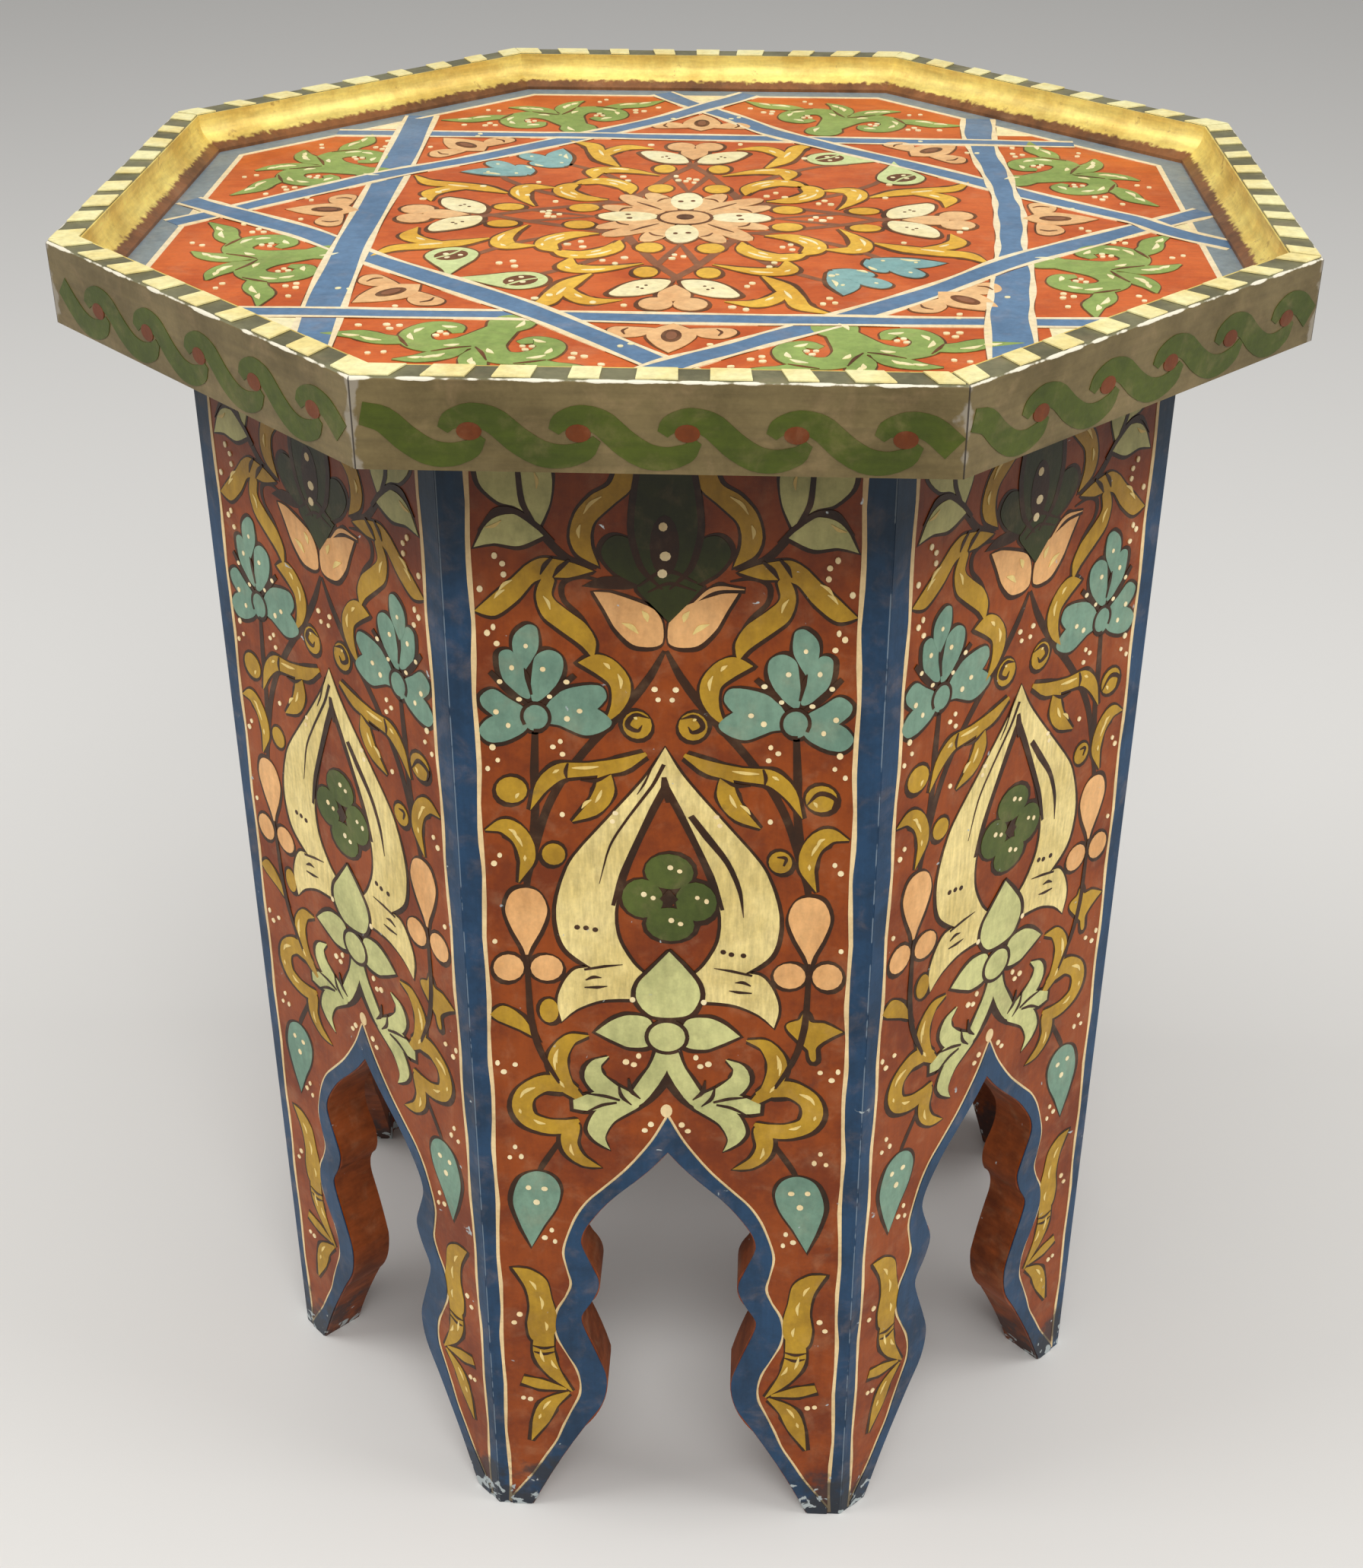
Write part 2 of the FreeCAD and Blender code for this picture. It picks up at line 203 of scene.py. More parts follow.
# %% Helpers: node groups
def new_group(name, inputs, outputs):
    """An empty node group with named sockets: its tree, its input node and its output node."""
    tree = bpy.data.node_groups.new(name, "ShaderNodeTree")
    for way, sockets in (("INPUT", inputs), ("OUTPUT", outputs)):
        for label, kind in sockets.items():
            tree.interface.new_socket(label, in_out=way, socket_type="NodeSocket" + kind)
    return tree, tree.nodes.new("NodeGroupInput").outputs, tree.nodes.new("NodeGroupOutput").inputs


def group_node(tree, group, **inputs):
    """The outputs of a node group placed in a tree, with its inputs set or linked."""
    return add(tree, "ShaderNodeGroup", inputs, node_tree=group).outputs


print("node groups so far:", len(bpy.data.node_groups))

# %% [markdown]
# ### Where on a side am I?
# All eight sides wear the same paint, so one material has to know how far a point lies across its
# own side, how high it is and how deep behind the face. The group finds which eighth of the circle
# the point is in and turns it back to the front. All three numbers come out in millimetres.

# %% Node group: place on a side
def make_place_group():
    tree, given, out = new_group("place_on_side", {"Face": "Float"},
                                 {"Across": "Float", "Height": "Float", "Depth": "Float"})
    point = object_point(tree)
    split = add(tree, "ShaderNodeSeparateXYZ", {"Vector": point}).outputs
    bearing = sum_of(tree, "ARCTAN2", split["Y"], split["X"])
    eighth = sum_of(tree, "ROUND", sum_of(tree, "DIVIDE", bearing, TURN))
    facing = times(tree, eighth, TURN)
    cos, sin = sum_of(tree, "COSINE", facing), sum_of(tree, "SINE", facing)
    out_x, out_y = times(tree, split["X"], cos), times(tree, split["Y"], sin)
    side_x, side_y = times(tree, split["X"], sin), times(tree, split["Y"], cos)
    outward = sum_of(tree, "DIVIDE", plus(tree, out_x, out_y), MM)
    tree.links.new(sum_of(tree, "DIVIDE", minus(tree, side_y, side_x), MM), out["Across"])
    tree.links.new(sum_of(tree, "DIVIDE", split["Z"], MM), out["Height"])
    tree.links.new(minus(tree, given["Face"], outward), out["Depth"])
    return tree


place_on_side = make_place_group()
print("group", place_on_side.name)

# %% [markdown]
# ### Brushwork
# Hand paint is never one flat colour. It clouds over a few centimetres where the brush was fuller,
# is mottled where it lies thin, shows streaks along the stroke and has fine grain. Old varnish lays
# a tan haze over parts of it. The group mixes those noises into the colour, and gives roughness and
# a height for the bump. `Grain` stretches the streaks: a large number makes them fine that way.

# %% Node group: brushwork
HAZE = 0.15


def make_brush_group():
    tree, given, out = new_group(
        "brushwork", {"Paint": "Color", "Deep": "Color", "Cloud": "Float", "Streak": "Float",
                      "Grain": "Vector"},
        {"Color": "Color", "Roughness": "Float", "Height": "Float"})
    point = object_point(tree)
    cloud = noise_of(tree, point, Scale=34.0, Detail=3.0)
    along = scaled_by(tree, point, given["Grain"])
    streak = noise_of(tree, along, Scale=1.0, Detail=4.0, Roughness=0.6)
    grit = noise_of(tree, point, Scale=900.0, Detail=2.0)
    mottled = noise_of(tree, point, Scale=150.0, Detail=5.0, Roughness=0.7)
    mixed = plus(tree, times(tree, cloud, 0.6), times(tree, mottled, 0.4))
    clouded = times(tree, step_between(tree, mixed, 0.38, 0.64), given["Cloud"])
    tone = blend_of(tree, clouded, given["Paint"], given["Deep"])
    patches = noise_of(tree, point, Scale=105.0, Detail=6.0, Roughness=0.62, Distortion=0.4)
    hazy = times(tree, step_between(tree, patches, 0.48, 0.78), HAZE)
    hazy = times(tree, hazy, given["Cloud"])
    tone = blend_of(tree, hazy, tone, colour(206, 168, 128))
    swing = times(tree, minus(tree, streak, 0.5), given["Streak"])
    fine = times(tree, minus(tree, grit, 0.5), 0.22)
    level = plus(tree, plus(tree, swing, fine), 1.0)
    tree.links.new(scaled_by(tree, tone, level), out["Color"])
    rough = plus(tree, times(tree, cloud, 0.22), 0.3)
    tree.links.new(rough, out["Roughness"])
    tree.links.new(plus(tree, times(tree, streak, 0.8), times(tree, grit, 0.4)), out["Height"])
    return tree


brushwork = make_brush_group()
print("group", brushwork.name)

# %% [markdown]
# ### Years of use, and painted shade
# The feet have been kicked and mopped: over the lowest few centimetres the paint is dark with dirt
# and chipped back to grey primer. Under the overhang of the tray the colours are darkened as painted
# shade, standing in for the light that the overhang keeps off. The same marks run across every colour
# there, so this is a group that all side paints share. `Amount` says how strong the wear and the
# painted shade are.

# %% Node group: wear and painted shade of the sides
DIRT_TOP, CHIPS_TOP = 42.0, 24.0
SHADE_FROM, SHADE_FULL = 350.0, 392.0
SHADE_STRENGTH = 0.7


def make_wear_and_shade_group():
    tree, given, out = new_group("wear_and_painted_shade", {"Color": "Color", "Amount": "Float"},
                                 {"Color": "Color", "Chip": "Float"})
    point = object_point(tree)
    height = height_of(tree, point)
    patchy = noise_of(tree, point, Scale=70.0, Detail=5.0, Roughness=0.65)
    chips = noise_of(tree, point, Scale=210.0, Detail=3.0, Distortion=0.6)
    low = step_between(tree, height, DIRT_TOP, 2.0)
    lowest = step_between(tree, height, CHIPS_TOP, 0.0)
    dirt = step_between(tree, plus(tree, patchy, times(tree, low, 0.34)), 0.66, 0.84)
    dirt = times(tree, dirt, given["Amount"])
    bare = step_between(tree, plus(tree, chips, times(tree, lowest, 0.2)), 0.74, 0.78)
    bare = times(tree, bare, given["Amount"])
    # Painted shade: colours darken towards the top of the sides, under the tray's overhang.
    under_rim_shade = step_between(tree, height, SHADE_FROM, SHADE_FULL)
    under_rim_shade = times(tree, times(tree, under_rim_shade, given["Amount"]), SHADE_STRENGTH)
    darker = blend_of(tree, under_rim_shade, given["Color"], colour(120, 104, 84), "MULTIPLY")
    dirty = blend_of(tree, times(tree, dirt, 0.8), darker, colour(44, 44, 46))
    tree.links.new(blend_of(tree, bare, dirty, colour(176, 184, 184)), out["Color"])
    tree.links.new(bare, out["Chip"])
    return tree


wear_and_painted_shade = make_wear_and_shade_group()
print("group", wear_and_painted_shade.name)

# %% [markdown]
# ### From paint to material
# Every paint is the same recipe: brushwork, then wear and painted shade, then one Principled shader
# with a low bump.
# `finish_with` makes the shader, and `paint` is the recipe for a plain brushed colour.

# %% Recipes for a paint
UPRIGHT_GRAIN = (420.0, 420.0, 30.0)
LENGTHWISE_GRAIN = (45.0, 420.0, 420.0)
SHORT_GRAIN = (380.0, 380.0, 130.0)
FINE_GRAIN = (760.0, 760.0, 120.0)
BUMP, BUMP_DEPTH = 0.25, 0.0003


def new_material(name):
    material = bpy.data.materials.new(name)
    material.use_nodes = True
    material.node_tree.nodes.clear()
    return material, material.node_tree


def finish_with(tree, base, rough, height, gloss=0.25, metal=0.0):
    """The Principled shader at the end of a paint."""
    relief = add(tree, "ShaderNodeBump", {"Strength": BUMP, "Distance": BUMP_DEPTH, "Height": height})
    inputs = {"Base Color": base, "Roughness": rough, "Normal": relief.outputs[0],
              "Specular IOR Level": gloss, "Metallic": metal}
    shader = add(tree, "ShaderNodeBsdfPrincipled", inputs)
    ending = add(tree, "ShaderNodeOutputMaterial")
    tree.links.new(shader.outputs[0], ending.inputs[0])


def brush_on(tree, shade, deep, cloud, streak, grain):
    """The brushwork group, with its two colours read off in 0-255."""
    return group_node(tree, brushwork, Paint=colour(*shade), Deep=colour(*deep), Cloud=cloud,
                      Streak=streak, Grain=grain)


def paint(name, shade, deep, wear_shade_amount, cloud=0.8, streak=0.6, grain=SHORT_GRAIN):
    """One hand-brushed colour, with the wear of the sides and the shade painted under the tray's
    overhang at the given strength.
    """
    material, tree = new_material(name)
    brushed = brush_on(tree, shade, deep, cloud, streak, grain)
    # The group adds the wear of the sides and the painted shade under the overhang.
    worn_shaded = group_node(tree, wear_and_painted_shade, Color=brushed["Color"], Amount=wear_shade_amount)
    rough = plus(tree, brushed["Roughness"], times(tree, worn_shaded["Chip"], 0.3))
    finish_with(tree, worn_shaded["Color"], rough, brushed["Height"])
    return material


print("upright grain is", UPRIGHT_GRAIN[0] / UPRIGHT_GRAIN[2], "times finer across than along")

# %% [markdown]
# ### The paints of the ornament
# The sides and the tray were mixed from the same pots, but the side set is mixed darker as painted
# shade, because the upright sides get less light than the tray; so each has its own set. The first
# colour is the paint, the second what it clouds to. `HANDLING` lists the few paints that were brushed
# in another way. Each could be a flat colour, but then the flowers would look printed.

# %% Mix the paints
BLUE_PAIR = (32, 66, 98), (22, 47, 70)
# The side colours are darker than the tray's as painted shade of the upright sides.
SIDE_MIXES = {
    "side_outline": ((60, 30, 4), (34, 18, 3)), "side_blue": BLUE_PAIR,
    "side_cream": ((240, 212, 160), (216, 184, 130)), "side_ochre": ((188, 146, 36), (154, 114, 24)),
    "side_ivory": ((238, 216, 146), (206, 182, 110)), "side_sage": ((210, 208, 140), (166, 166, 108)),
    "side_bottle": ((52, 58, 10), (40, 42, 8)), "side_moss": ((84, 96, 38), (62, 74, 26)),
    "side_pink": ((236, 180, 118), (210, 152, 92)), "side_sky": ((122, 154, 132), (100, 132, 114)),
    "side_gleam": ((236, 210, 134), (222, 190, 110)), "light_touch": ((248, 230, 184), (240, 210, 154)),
}
TOP_MIXES = {
    "top_outline": ((120, 70, 30), (78, 44, 16)), "top_stem": ((146, 92, 58), (124, 76, 48)),
    "top_blue": ((98, 130, 162), (84, 114, 144)), "top_border": ((136, 148, 152), (116, 130, 138)),
    "top_cream": ((244, 228, 190), (236, 210, 160)), "top_ivory": ((246, 236, 190), (236, 218, 160)),
    "top_ochre": ((236, 188, 66), (210, 152, 40)), "top_green": ((150, 172, 90), (122, 144, 70)),
    "top_sage": ((212, 222, 156), (194, 204, 138)), "top_pink": ((238, 192, 134), (220, 164, 108)),
    "top_sky": ((142, 182, 176), (118, 158, 156)), "rim_cream": ((246, 238, 178), (234, 210, 130)),
    "rim_green": ((74, 84, 20), (58, 68, 16)), "rim_red": ((112, 52, 12), (92, 42, 8)),
}
HANDLING = {
    "side_outline": {"cloud": 0.7}, "side_blue": {"grain": UPRIGHT_GRAIN},
    "side_ivory": {"streak": 1.0, "grain": FINE_GRAIN}, "top_outline": {"cloud": 1.0},
    "rim_green": {"grain": LENGTHWISE_GRAIN},
}

PAINTS = {}
# The sides get wear and painted shade; the tray gets neither.
for mixes, wear_shade_amount in ((SIDE_MIXES, 1.0), (TOP_MIXES, 0.0)):
    for name, (shade, deep) in mixes.items():
        PAINTS[name] = paint(name, shade, deep, wear_shade_amount, **HANDLING.get(name, {}))
print(len(PAINTS), "paints")

# %% [markdown]
# ### The side boards
# A board is brick red on its face. Its corner is blue, rubbed pale along the sharp arris, and the
# cut edge of the arch and the inside were only washed with thin brown-red. Each board could have its
# faces sorted into slots, but the blue has no edge of its own in the mesh. So masks do it: `Depth`
# from the place group tells face from edge, and the distance to the corner tells blue from red. The
# painted band lies over this blue, which shows only where the film stops short of the arris.

# %% Side board material
CORNER_PAINT = 4.2
WASH_GRAIN = (60.0, 60.0, 380.0)


def make_board_material():
    material, tree = new_material("painted_red_board_finish")
    place = group_node(tree, place_on_side, Face=FACE_OUT)
    # The side red is mixed darker than the tray's red, as painted shade of the upright sides.
    brushed = brush_on(tree, (148, 66, 6), (116, 46, 4), cloud=1.0, streak=0.42, grain=UPRIGHT_GRAIN)
    blue = brush_on(tree, *BLUE_PAIR, cloud=0.7, streak=0.5, grain=UPRIGHT_GRAIN)
    wash = brush_on(tree, (140, 68, 26), (96, 44, 16), cloud=1.0, streak=1.0, grain=WASH_GRAIN)
    to_arris = minus(tree, FACE_HALF, sum_of(tree, "ABSOLUTE", place["Across"]))
    shade = blend_of(tree, step_between(tree, to_arris, CORNER_PAINT, CORNER_PAINT - 0.3),
                     brushed["Color"], blue["Color"])
    point = object_point(tree)
    rubs = noise_of(tree, point, Scale=120.0, Detail=4.0)
    rubbed = step_between(tree, minus(tree, rubs, times(tree, to_arris, 0.16)), 0.40, 0.47)
    shade = blend_of(tree, times(tree, rubbed, 0.7), shade, colour(132, 148, 162))
    behind = step_between(tree, place["Depth"], 0.25, 0.6)
    shade = blend_of(tree, behind, shade, wash["Color"])
    # The group adds the wear of the sides and the painted shade under the overhang.
    worn_shaded = group_node(tree, wear_and_painted_shade, Color=shade, Amount=1.0)
    rough = plus(tree, brushed["Roughness"], times(tree, behind, 0.25))
    finish_with(tree, worn_shaded["Color"], rough, brushed["Height"])
    return material


board_finish = make_board_material()
print(board_finish.name)

# %% [markdown]
# ### The tray board
# The tray is a lighter orange red than the sides, whose paints are mixed darker as painted shade, and
# its edge and underside are bare wood. The red could be one more film, but the whole face wears it,
# so a mask by height is simpler.

# %% Tray board material
BARE_WOOD_GRAIN = (20.0, 260.0, 260.0)


def make_tray_material():
    material, tree = new_material("painted_tray_board_finish")
    red = brush_on(tree, (212, 102, 38), (186, 80, 26), cloud=1.0, streak=0.36, grain=LENGTHWISE_GRAIN)
    wood = brush_on(tree, (150, 112, 76), (112, 80, 54), cloud=0.8, streak=0.8, grain=BARE_WOOD_GRAIN)
    height = height_of(tree, object_point(tree))
    painted = step_between(tree, height, TRAY_FLOOR - 0.4, TRAY_FLOOR - 0.2)
    shade = blend_of(tree, painted, wood["Color"], red["Color"])
    finish_with(tree, shade, red["Roughness"], red["Height"])
    return material


tray_finish = make_tray_material()
print(tray_finish.name)

# %% [markdown]
# ### The edging
# The edging has a grey-brown face, a dark grey-green top that the cream checks are painted on, and
# pale worn corners. The wear could be cut into the mesh as chips, but it is only as deep as the
# paint. So a noise is compared with the distance to the edge, and where it is the larger, the pale
# ground shows. A thin dark line marks each mitre.

# %% Edging material
JOINT_HALF = 0.2
EDGING_GRAIN = (40.0, 40.0, 520.0)


def make_edging_material():
    material, tree = new_material("painted_edging_finish")
    place = group_node(tree, place_on_side, Face=RIM_OUT)
    fascia = brush_on(tree, (118, 102, 66), (94, 80, 48), cloud=0.9, streak=0.6, grain=EDGING_GRAIN)
    check = brush_on(tree, (124, 120, 88), (92, 88, 62), cloud=0.9, streak=0.5, grain=SHORT_GRAIN)
    flat_top = step_between(tree, place["Height"], RIM_TOP - 0.5, RIM_TOP - 0.2)
    shade = blend_of(tree, flat_top, fascia["Color"], check["Color"])
    point = object_point(tree)
    rubs = noise_of(tree, point, Scale=150.0, Detail=4.0)
    to_mitre = minus(tree, RIM_OUT * SPREAD, sum_of(tree, "ABSOLUTE", place["Across"]))
    to_top = minus(tree, RIM_TOP, place["Height"])
    to_edge = plus(tree, to_top, place["Depth"])
    arris = step_between(tree, minus(tree, rubs, times(tree, to_edge, 0.6)), 0.10, 0.20)
    corner = step_between(tree, minus(tree, rubs, times(tree, to_mitre, 0.09)), 0.34, 0.46)
    pale = blend_of(tree, times(tree, corner, 0.5), shade, colour(176, 168, 156))
    pale = blend_of(tree, times(tree, arris, 0.9), pale, colour(246, 238, 216))
    joint = step_between(tree, to_mitre, JOINT_HALF + 0.15, JOINT_HALF)
    pale = blend_of(tree, times(tree, joint, 0.85), pale, colour(38, 30, 24))
    finish_with(tree, pale, fascia["Roughness"], fascia["Height"])
    return material


edging_finish = make_edging_material()
print(edging_finish.name)

# %% [markdown]
# ### The cove
# The cove is gold paint rubbed through to brown in streaks, with a red-brown foot where the tray's
# red was brushed up against it. Two noises added to the height make that border ragged. Gold leaf
# would be all metal, but this looks like paint with some metal powder in it, so it is a fifth metal.

# %% Gilded cove material
GOLD_GRAIN = (60.0, 60.0, 500.0)


def make_cove_material():
    material, tree = new_material("gilded_cove_finish")
    place = group_node(tree, place_on_side, Face=RIM_IN)
    gold = brush_on(tree, (250, 226, 124), (214, 176, 78), cloud=0.8, streak=0.9, grain=GOLD_GRAIN)
    point = object_point(tree)
    rubs = noise_of(tree, point, Scale=95.0, Detail=5.0, Roughness=0.7)
    dabs = noise_of(tree, point, Scale=420.0, Detail=3.0)
    ragged = plus(tree, times(tree, rubs, 1.6), times(tree, dabs, 2.4))
    foot = plus(tree, place["Height"], ragged)
    foot = step_between(tree, foot, TRAY_FLOOR + 5.5, TRAY_FLOOR + 4.7)
    through = step_between(tree, rubs, 0.6, 0.68)
    red_brown = brush_on(tree, (140, 88, 46), (92, 56, 26), cloud=0.9, streak=0.9, grain=SHORT_GRAIN)
    shade = blend_of(tree, times(tree, through, 0.6), gold["Color"], colour(140, 94, 46))
    shade = blend_of(tree, foot, shade, red_brown["Color"])
    metal = times(tree, minus(tree, 1.0, sum_of(tree, "MAXIMUM", foot, through)), 0.2)
    finish_with(tree, shade, gold["Roughness"], gold["Height"], gloss=0.5, metal=metal)
    return material


cove_finish = make_cove_material()
print(cove_finish.name)

# %% [markdown]
# ### The wood and steel that hide inside
# The glue blocks are sawn pine, with rings that a Wave texture bends into grain. Screws and pins are
# plain steel with a slight turning mark. Hardly anyone sees them, so two short recipes are enough.

# %% Pine and steel materials
SAWN_GRAIN = (300.0, 300.0, 24.0)
TURNED_GRAIN = (120.0, 120.0, 1600.0)


def make_pine_material():
    material, tree = new_material("bare_pine_finish")
    point = object_point(tree)
    rings = add(tree, "ShaderNodeTexWave", {"Vector": point, "Scale": 60.0, "Distortion": 5.0,
                                            "Detail": 3.0, "Detail Scale": 0.6}, wave_type="RINGS")
    wood = brush_on(tree, (206, 166, 112), (174, 128, 80), cloud=0.7, streak=0.5, grain=SAWN_GRAIN)
    shade = blend_of(tree, times(tree, rings.outputs[1], 0.45), wood["Color"], colour(164, 112, 66))
    finish_with(tree, shade, wood["Roughness"], wood["Height"])
    return material


def make_steel_material():
    material, tree = new_material("steel_fixings_finish")
    turned = brush_on(tree, (176, 176, 178), (140, 140, 144), cloud=0.6, streak=0.4, grain=TURNED_GRAIN)
    rough = times(tree, turned["Roughness"], 0.9)
    finish_with(tree, turned["Color"], rough, turned["Height"], metal=1.0)
    return material


pine_finish, steel_finish = make_pine_material(), make_steel_material()
print(pine_finish.name, steel_finish.name)

# %% [markdown]
# A loaded node keeps its mesh, and only its material slots are refilled. The name of a node says
# which finish it wears.

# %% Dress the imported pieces
FINISHES = {
    "side_board": board_finish, "top_board": tray_finish, "edging_strip": edging_finish,
    "cove_strip": cove_finish, "corner_block": pine_finish, "block_screws": steel_finish,
    "edging_pins": steel_finish}

for name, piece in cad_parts.items():
    finish = next(material for start, material in FINISHES.items() if name.startswith(start))
    for number in range(max(1, len(piece.data.materials))):
        if piece.data.materials:
            piece.data.materials[number] = finish
        else:
            piece.data.materials.append(finish)
print("dressed", len(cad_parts), "nodes")

# %% [markdown]
# ## Drawing with a brush
# The ornament is modelled the way it was painted: each brush stroke is a thin film of paint lying on
# the wood. A stroke is a smooth line through a few points, each with the brush's half width there;
# a patch is a smooth closed outline. Both start as flat faces, are placed on a board, and a Solidify
# modifier gives them their thickness. Geometry keeps every edge crisp from any distance, which a
# pattern of noise could not.

# %% A smooth line through points
def smooth(rows, closed=False, sharp=(), steps=7):
    """Points on a smooth line through rows. Each column after x and y, such as a width, follows."""
    rows = np.array(rows, float)
    before, after = np.roll(rows, 1, 0), np.roll(rows, -1, 0)
    if not closed:
        before[0], after[-1] = rows[0], rows[-1]
    gap_in = np.linalg.norm((rows - before)[:, :2], axis=1)
    gap_out = np.linalg.norm((after - rows)[:, :2], axis=1)
    if not closed:
        gap_in[0], gap_out[-1] = gap_out[0], gap_in[-1]
    way = after - before
    reach = np.minimum(gap_in, gap_out) / np.maximum(np.linalg.norm(way[:, :2], axis=1), 1e-6)
    slope = way * reach[:, None]
    slope[list(sharp)] = 0
    share = np.arange(steps)[:, None] / steps
    square, cube = share**2, share**3
    here, here_lean = 2 * cube - 3 * square + 1, cube - 2 * square + share
    there, there_lean = 3 * square - 2 * cube, cube - square
    spans = []
    for i in range(len(rows) if closed else len(rows) - 1):
        j = (i + 1) % len(rows)
        spans.append(rows[i] * here + slope[i] * here_lean + rows[j] * there + slope[j] * there_lean)
    if not closed:
        spans.append(rows[-1:])
    return np.concatenate(spans)


bow = smooth([(0, 0), (5, 3), (10, 0)])
print("a line through 3 points becomes", len(bow), "points")

# %% [markdown]
# A smooth line has more points than it needs where it is nearly straight, and every point costs
# triangles. So the points that lie within `SLACK` of a straight line between others are left out.
# `sideways` gives the direction across a line, along which a brush has its width.

# %% Fewer points, and the direction across
SLACK = 0.06


def needed(path):
    """The fewest of the points that keep the line's shape: the others lie within SLACK of it."""
    kept = np.zeros(len(path), bool)
    kept[[0, -1]] = True
    spans = [(0, len(path) - 1)]
    while spans:
        first, last = spans.pop()
        if last - first < 2:
            continue
        chord = path[last] - path[first]
        off = path[first + 1:last] - path[first]
        share = np.clip(off @ chord / max(chord @ chord, 1e-9), 0, 1)
        gap = np.linalg.norm(off - np.outer(share, chord), axis=1)
        if gap.max() > SLACK:
            far = first + 1 + int(gap.argmax())
            kept[far] = True
            spans += [(first, far), (far, last)]
    return path[kept]


def sideways(line, closed=False):
    """The unit direction to the left of a line at each of its points."""
    ahead = np.roll(line, -1, 0) - line
    if not closed:
        ahead[-1] = ahead[-2]
    ahead /= np.maximum(np.linalg.norm(ahead, axis=1), 1e-9)[:, None]
    behind = np.roll(ahead, 1, 0)
    if not closed:
        behind[0] = ahead[0]
    run = ahead + behind
    left = np.stack([-run[:, 1], run[:, 0]], 1)
    return left / np.maximum(np.linalg.norm(left, axis=1), 1e-9)[:, None]


print("of those", len(bow), "points", len(needed(bow)), "are needed")

# %% [markdown]
# A mark remembers its paint, its layer, its points and its faces. Layers lie a few hundredths of a
# millimetre apart, as coats of paint do: first outlines, then bands, lines, colours, dark veins and
# last the light touches. A ribbon is a mark that follows a line with a width at each point.

# %% Coats, marks and ribbons
COAT = {
    "under": 0.06, "band": 0.10, "line": 0.15, "body": 0.19, "over": 0.24, "vein": 0.29, "touch": 0.34}
OUTLINE = 1.15
OUTLINE_SLIP = np.array([0.22, -0.2])
TIP = 0.05
GLEAM_HALF = 0.55
hand = random.Random(7)


def mark(sheet, pot, coat, points, faces, steady=False, lift=0):
    sheet.append({
        "pot": pot, "coat": coat, "points": points, "faces": faces, "steady": steady, "lift": lift})


def ribbon(sheet, pot, coat, line, half, steady=False, lift=0):
    left = sideways(line) * np.maximum(half, TIP)[:, None]
    count = len(line)
    faces = [(i, i + 1, count + i + 1, count + i) for i in range(count - 1)]
    rise = np.concatenate([lift, lift]) if np.ndim(lift) else lift
    mark(sheet, pot, coat, np.concatenate([line - left, line + left]), faces, steady, rise)


print(len(COAT), "coats, from", COAT["under"], "to", COAT["touch"], "mm above the wood")

# %% [markdown]
# A stroke is what the brush drew in one pull, and a patch is what it filled in. Most get a dark
# outline, a line that swells and thins as the brush was pressed, a little out of register with the
# colour inside it. An outline of even width would be simpler, but would look printed.

# %% Strokes and patches
def pressed(count, edge):
    """The width of a hand-drawn outline at each of its points."""
    return edge * (1 + 0.32 * np.sin(np.arange(count) * 12.5 / count + hand.uniform(0, math.tau)))


def gleam_on(sheet, line, half, start, reach):
    """A pale dab that follows a stroke, from start on and reach long, both shares of the stroke."""
    part = slice(int(len(line) * start), int(len(line) * min(1, start + reach)))
    inner = line[part] + sideways(line)[part] * (half[part] * 0.3)[:, None]
    if len(inner) > 2:
        swell = np.sin(np.linspace(0.2, math.pi - 0.2, len(inner)))
        ribbon(sheet, "gleam", "touch", inner, GLEAM_HALF * swell)


def stroke(sheet, pot, rows, coat="body", rim=OUTLINE, gleam=0.0, steady=False):
    """A brush stroke through rows of (x, y, half width), with a dark rim and maybe light gleams."""
    path = smooth(rows)
    if gleam:
        start = hand.uniform(0.28, 0.42)
        gleam_on(sheet, path[:, :2], path[:, 2], start, gleam)
        gleam_on(sheet, path[:, :2], path[:, 2], start + gleam + 0.06, gleam * 0.4)
    path = needed(path)
    line, half = path[:, :2], path[:, 2]
    ribbon(sheet, pot, coat, line, half, steady)
    if rim:
        edge = rim * hand.uniform(0.8, 1.2)
        width = half + pressed(len(line), edge)
        ribbon(sheet, "outline", "under", line + OUTLINE_SLIP * edge, width, steady)


def dark_lines(sheet, coat, *lines):
    """Strokes of the outline's dark paint, with no rim: veins, stems and seams."""
    for rows in lines:
        stroke(sheet, "outline", rows, coat, 0)


def patch(sheet, pot, rows, coat="body", sharp=(), rim=OUTLINE, steady=False, steps=6):
    """A filled shape with a smooth outline; sharp lists the points that are corners."""
    line = needed(smooth(rows, True, sharp, steps))
    if (line[:, 0] * np.roll(line[:, 1], -1) - line[:, 1] * np.roll(line[:, 0], -1)).sum() < 0:
        line = line[::-1]
    count = len(line)
    mark(sheet, pot, coat, line, [tuple(range(count))], steady)
    if rim:
        edge = rim * hand.uniform(0.8, 1.2)
        out = -sideways(line, True)
        drawn = line + OUTLINE_SLIP * edge
        ring = np.concatenate([drawn + out * pressed(count, edge)[:, None], drawn - out * 0.4])
        faces = [(i, (i + 1) % count, count + (i + 1) % count, count + i) for i in range(count)]
        mark(sheet, "outline", "under", ring, faces, steady)


print("an outline is about", OUTLINE, "mm wide")

# %% [markdown]
# The small marks are made from patches and strokes: round dabs, the dots of the brush's tip and short
# pale gleams. What the painter repeated is drawn once, then mirrored or turned.

# %% Dots, gleams and copies
DOT_CORNERS = 9


